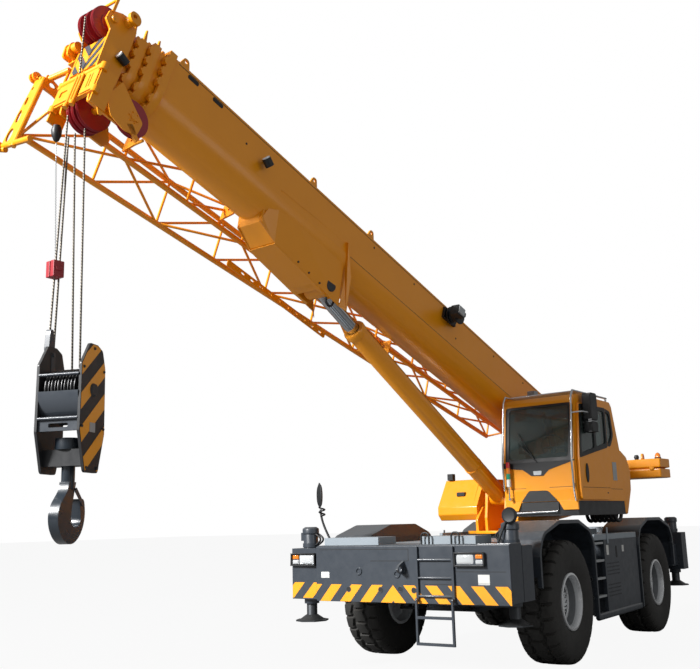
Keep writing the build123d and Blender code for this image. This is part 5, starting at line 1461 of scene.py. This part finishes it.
# %% Front panel of the cab
RECESS = rounded([(0.74, 2.135), (1.02, 2.13), (1.16, 1.985), (0.61, 1.985)], 0.03)
recess = slab(CAB_FRONT, RECESS, -0.003)
recess_back = brick(UPPER, (0.955, 0.985), (0.61, 1.16), (1.86, 1.985))
piece("front_recess", "upper_works", PLASTIC, [recess, recess_back])
LEFT_APRON = [(0.365, 1.99), (0.61, 1.99), (0.55, 1.865), (0.365, 1.865)]
RIGHT_APRON = [(1.16, 1.99), (1.445, 1.99), (1.445, 1.865), (1.23, 1.865)]
apron_face = facing_forward(UPPER, 0.962)
aprons = [slab(apron_face, run, -0.03) for run in (LEFT_APRON, RIGHT_APRON)]
piece("front_aprons", "upper_works", YELLOW, aprons, bevel=0.004)
# The creases are dark strips of painted shade.
creases = seam(CAB_FRONT, [(0.37, 2.17), (0.70, 2.17)], 0.005)
creases += seam(CAB_FRONT, [(1.05, 2.17), (1.44, 2.17)], 0.005)
piece("cab_creases", "upper_works", GAP_SHADE_BLACK, creases)
badge = rounded([(0.83, 2.345), (0.94, 2.345), (0.95, 2.40), (0.82, 2.40)], 0.015)
piece("badge_place", "upper_works", BARE, [slab(at(CAB_FRONT, y=-0.004), badge, -0.003)])

# %% [markdown]
# ## Side of the cab
# The door has an oval handle cup and a crease, the shell behind it a bare plate and two
# seams. The cup could be sunk into the door, but its dark oval is what shows, so it's a
# low pad with soft edges. It slides with the door.

# %% Side of the cab
cup = slab(DOOR, oval(0.74, 2.35, 0.045, 0.13), 0.012)
piece("door_handle", "cab_door", PLASTIC, [cup], smooth=40, bevel=0.004)
# The door's crease lines are dark strips of painted shade.
door_creases = [brick(DOOR, (0.0, 0.9), (0, THIN), (2.155, 2.160))]
door_creases += [brick(DOOR, (0.07, 0.11), (0.0, THIN), (2.08, 2.095))]
piece("door_crease", "cab_door", GAP_SHADE_BLACK, door_creases)
piece("side_plate", "upper_works", BARE, [brick(SHELL, (-0.36, -0.22), (0, 0.004), (2.27, 2.53))])
# The shell's seams are dark strips of painted shade.
lines = [brick(SHELL, (-0.53, -0.05), (0, THIN), (2.145, 2.15))]
lines += [brick(SHELL, (-0.055, -0.05), (0, THIN), (2.0, 2.7))]
piece("shell_creases", "upper_works", GAP_SHADE_BLACK, lines)

# %% [markdown]
# ## Mirrors, wiper and signal tower
# The signal tower shows the load in three colours. Mirrors are moulded shells a little
# larger than the plates that carry them, with soft edges from a bevel. The wiper's arm has
# a blade beside it, and polished bars guard the front. Bars and arms are straight tubes.

# %% Mirrors, wiper and signal tower
mirror_plane = at(UPPER, y=1.502)
upper_shell = rounded(rectangle(0.552, 0.768, 3.055, 3.437), BLEND)
lower_shell = rounded(rectangle(0.57, 0.768, 2.893, 3.045), 0.04)
shells = [slab(mirror_plane, run, 0.13) for run in (upper_shell, lower_shell)]
piece("mirror_shells", "upper_works", PLASTIC, shells, smooth=40, bevel=0.012)
arm = strut(SCREEN, (0.89, -0.02, 0.0), (0.66, -0.03, 0.24), 0.009)
blade = strut(SCREEN, (0.86, -0.02, 0.03), (0.60, -0.02, 0.42), 0.007)
piece("wiper", "upper_works", PLASTIC, [arm, blade], smooth=60)
TOWER = at(UPPER, 1.07, 0.47, 0.0)
TOWER_RINGS = [
    ("tower_base", BLANK, 2.20, 2.30, 0.03),
    ("tower_green", LENS_GREEN, 2.303, 2.38, 0.029),
    ("tower_amber", LENS_AMBER, 2.383, 2.46, 0.029),
    ("tower_red", LENS_RED, 2.463, 2.54, 0.029),
]
for name, finish, low, high, radius in TOWER_RINGS:
    ring = strut(TOWER, (0, 0, low), (0, 0, high), radius, 28)
    piece(name, "upper_works", finish, [ring], smooth=40, bevel=0.003)
stalks = [
    strut(TOWER, (0, 0, 2.03), (0, 0, 2.2), 0.011),
    strut(TOWER, (-0.075, 0, 2.03), (0, 0, 2.03), 0.02),
    strut(UPPER, (1.0, 0.42, 1.835), (1.0, 1.15, 1.85), 0.014),
    strut(UPPER, (1.06, 1.43, 2.14), (1.02, 1.43, 1.98), 0.012),
]
piece("polished_stalks", "upper_works", RAIL, stalks, smooth=60)
roof_lamp = brick(UPPER, (0.30, 0.42), (0.50, 0.62), (3.47, 3.60))
roof_stem = strut(UPPER, (0.36, 0.56, 3.41), (0.36, 0.56, 3.48), 0.02)
piece("roof_lamp", "upper_works", PALE_AND_SKY_REFLECTION, [roof_lamp, roof_stem], bevel=0.01)

# %% [markdown]
# ## Inside the cab
# Through the tinted glass one sees a steering wheel, its column and a head rest. The cab
# could be left empty behind dark glass, but then it looks like a block. The wheel's rim is
# a tube on a tilted ring.

# %% Inside the cab
WHEEL = (0.56, 0.95, 2.74)
t = np.linspace(0, 2 * np.pi, 41)
rim = np.stack([0.08 * np.cos(t), 0.19 * np.sin(t), 0.17 * np.cos(t)], -1) + WHEEL
shapes = [
    tube(put(UPPER, rim), 0.014),
    strut(UPPER, WHEEL, (0.74, 0.95, 2.5), 0.03),
    strut(UPPER, (0.56, 0.77, 2.74), (0.56, 1.13, 2.74), 0.012),
    brick(UPPER, (0.70, 0.78), (0.50, 0.74), (2.66, 2.84)),
]
piece("steering_column", "upper_works", PLASTIC, shapes, smooth=50)
rest = rounded([(-0.34, 3.09), (-0.24, 3.09), (-0.25, 3.25), (-0.33, 3.25)], 0.03)
piece("head_rest", "upper_works", SEAT, [slab(at(UPPER, y=0.82), rest, 0.26)], smooth=50, bevel=0.01)

# %% [markdown]
# ## Cabinet and counterweight
# The hydraulic cabinet has a raised lid with a latch and a lamp. The counterweight has
# lifting eyes and a round cap. Panels could be cut into the solids, but they stand proud
# on the real machine, so they are thin plates laid on, with their edges softened.

# %% Cabinet and counterweight
LID = rounded([(-0.86, 2.0), (0.30, 2.0), (0.18, 2.31), (-0.86, 2.31)], 0.03)
SLOPE = [(0.585, -0.42, 1.97), (0.585, -0.98, 1.97), (0.345, -0.98, 2.352), (0.345, -0.42, 2.352)]
panels = [slab(at(UPPER, y=-1.03), LID, -0.012), facet(UPPER, SLOPE, -0.008)]
piece("cabinet_panels", "upper_works", YELLOW, panels, bevel=0.006)
latch = brick(UPPER, (0.46, 0.52), (-0.74, -0.60), (2.12, 2.18))
small_lamp = brick(UPPER, (0.30, 0.38), (-0.98, -0.88), (2.37, 2.47))
piece("cabinet_latches", "upper_works", PLASTIC, [latch, small_lamp], bevel=0.008)
cap_place = at(UPPER, -3.09, 0.95, 2.56, forward=(0, 1, 0), left=(1, 0, 0))
shapes = [lathe(cap_place, [(0, 0), (0.02, 0), (0.02, 0.03), (0, 0.045)], 12)]
lifting_eye = rounded([(-0.06, 0), (0.06, 0), (0.03, 0.1), (-0.03, 0.1)], 0.03)
eye_hole = oval(0, 0.055, 0.02, 0.02)
shapes += [pierced(at(UPPER, -3.2, y, 2.72), lifting_eye, [eye_hole], 0.03) for y in (-0.8, 0.75)]
piece("counterweight_eyes", "upper_works", YELLOW, shapes, smooth=40, bevel=0.003)

# %% [markdown]
# ## Beacon and hose drum
# A beacon stands on the counterweight beside a small foot for an aerial, and the drum
# behind the cab is wound with black hose. The winding could be a ribbed cylinder. A tube
# on a helix shows daylight between its turns, as hose does.

# %% Beacon and hose drum
BEACON, AERIAL = put(UPPER, (-3.35, 0.98, 2.72)), put(UPPER, (-3.3, 0.62, 2.72))
BEACON_DOME = [(0.03, 0.0), (0.03, 0.048), (0.07, 0.046), (0.10, 0.03), (0.115, 0.0)]
BEACON_FOOT = [(0, 0), (0, 0.055), (0.03, 0.055), (0.03, 0)]
AERIAL_FOOT = [(0, 0), (0, 0.03), (0.05, 0.045), (0.09, 0.03), (0.09, 0)]
piece("beacon_lens", "upper_works", LENS_AMBER, [upright_turned(BEACON, BEACON_DOME)], smooth=50)
feet = [upright_turned(BEACON, BEACON_FOOT), upright_turned(AERIAL, AERIAL_FOOT)]
piece("beacon_foot", "upper_works", PLASTIC, feet, smooth=40)
HOSE_TURNS, DRUM_WIDTH = 7, 0.5
t = np.linspace(0, 2 * np.pi * HOSE_TURNS, 260)
helix_y = 0.75 + DRUM_WIDTH * t / t[-1]
helix = np.stack([-0.80 + 0.17 * np.cos(t), helix_y, 1.83 + 0.13 * np.sin(t)], -1)
piece("hose_bundle", "upper_works", HOSE, [tube(put(UPPER, helix), 0.028, 8)], smooth=60)
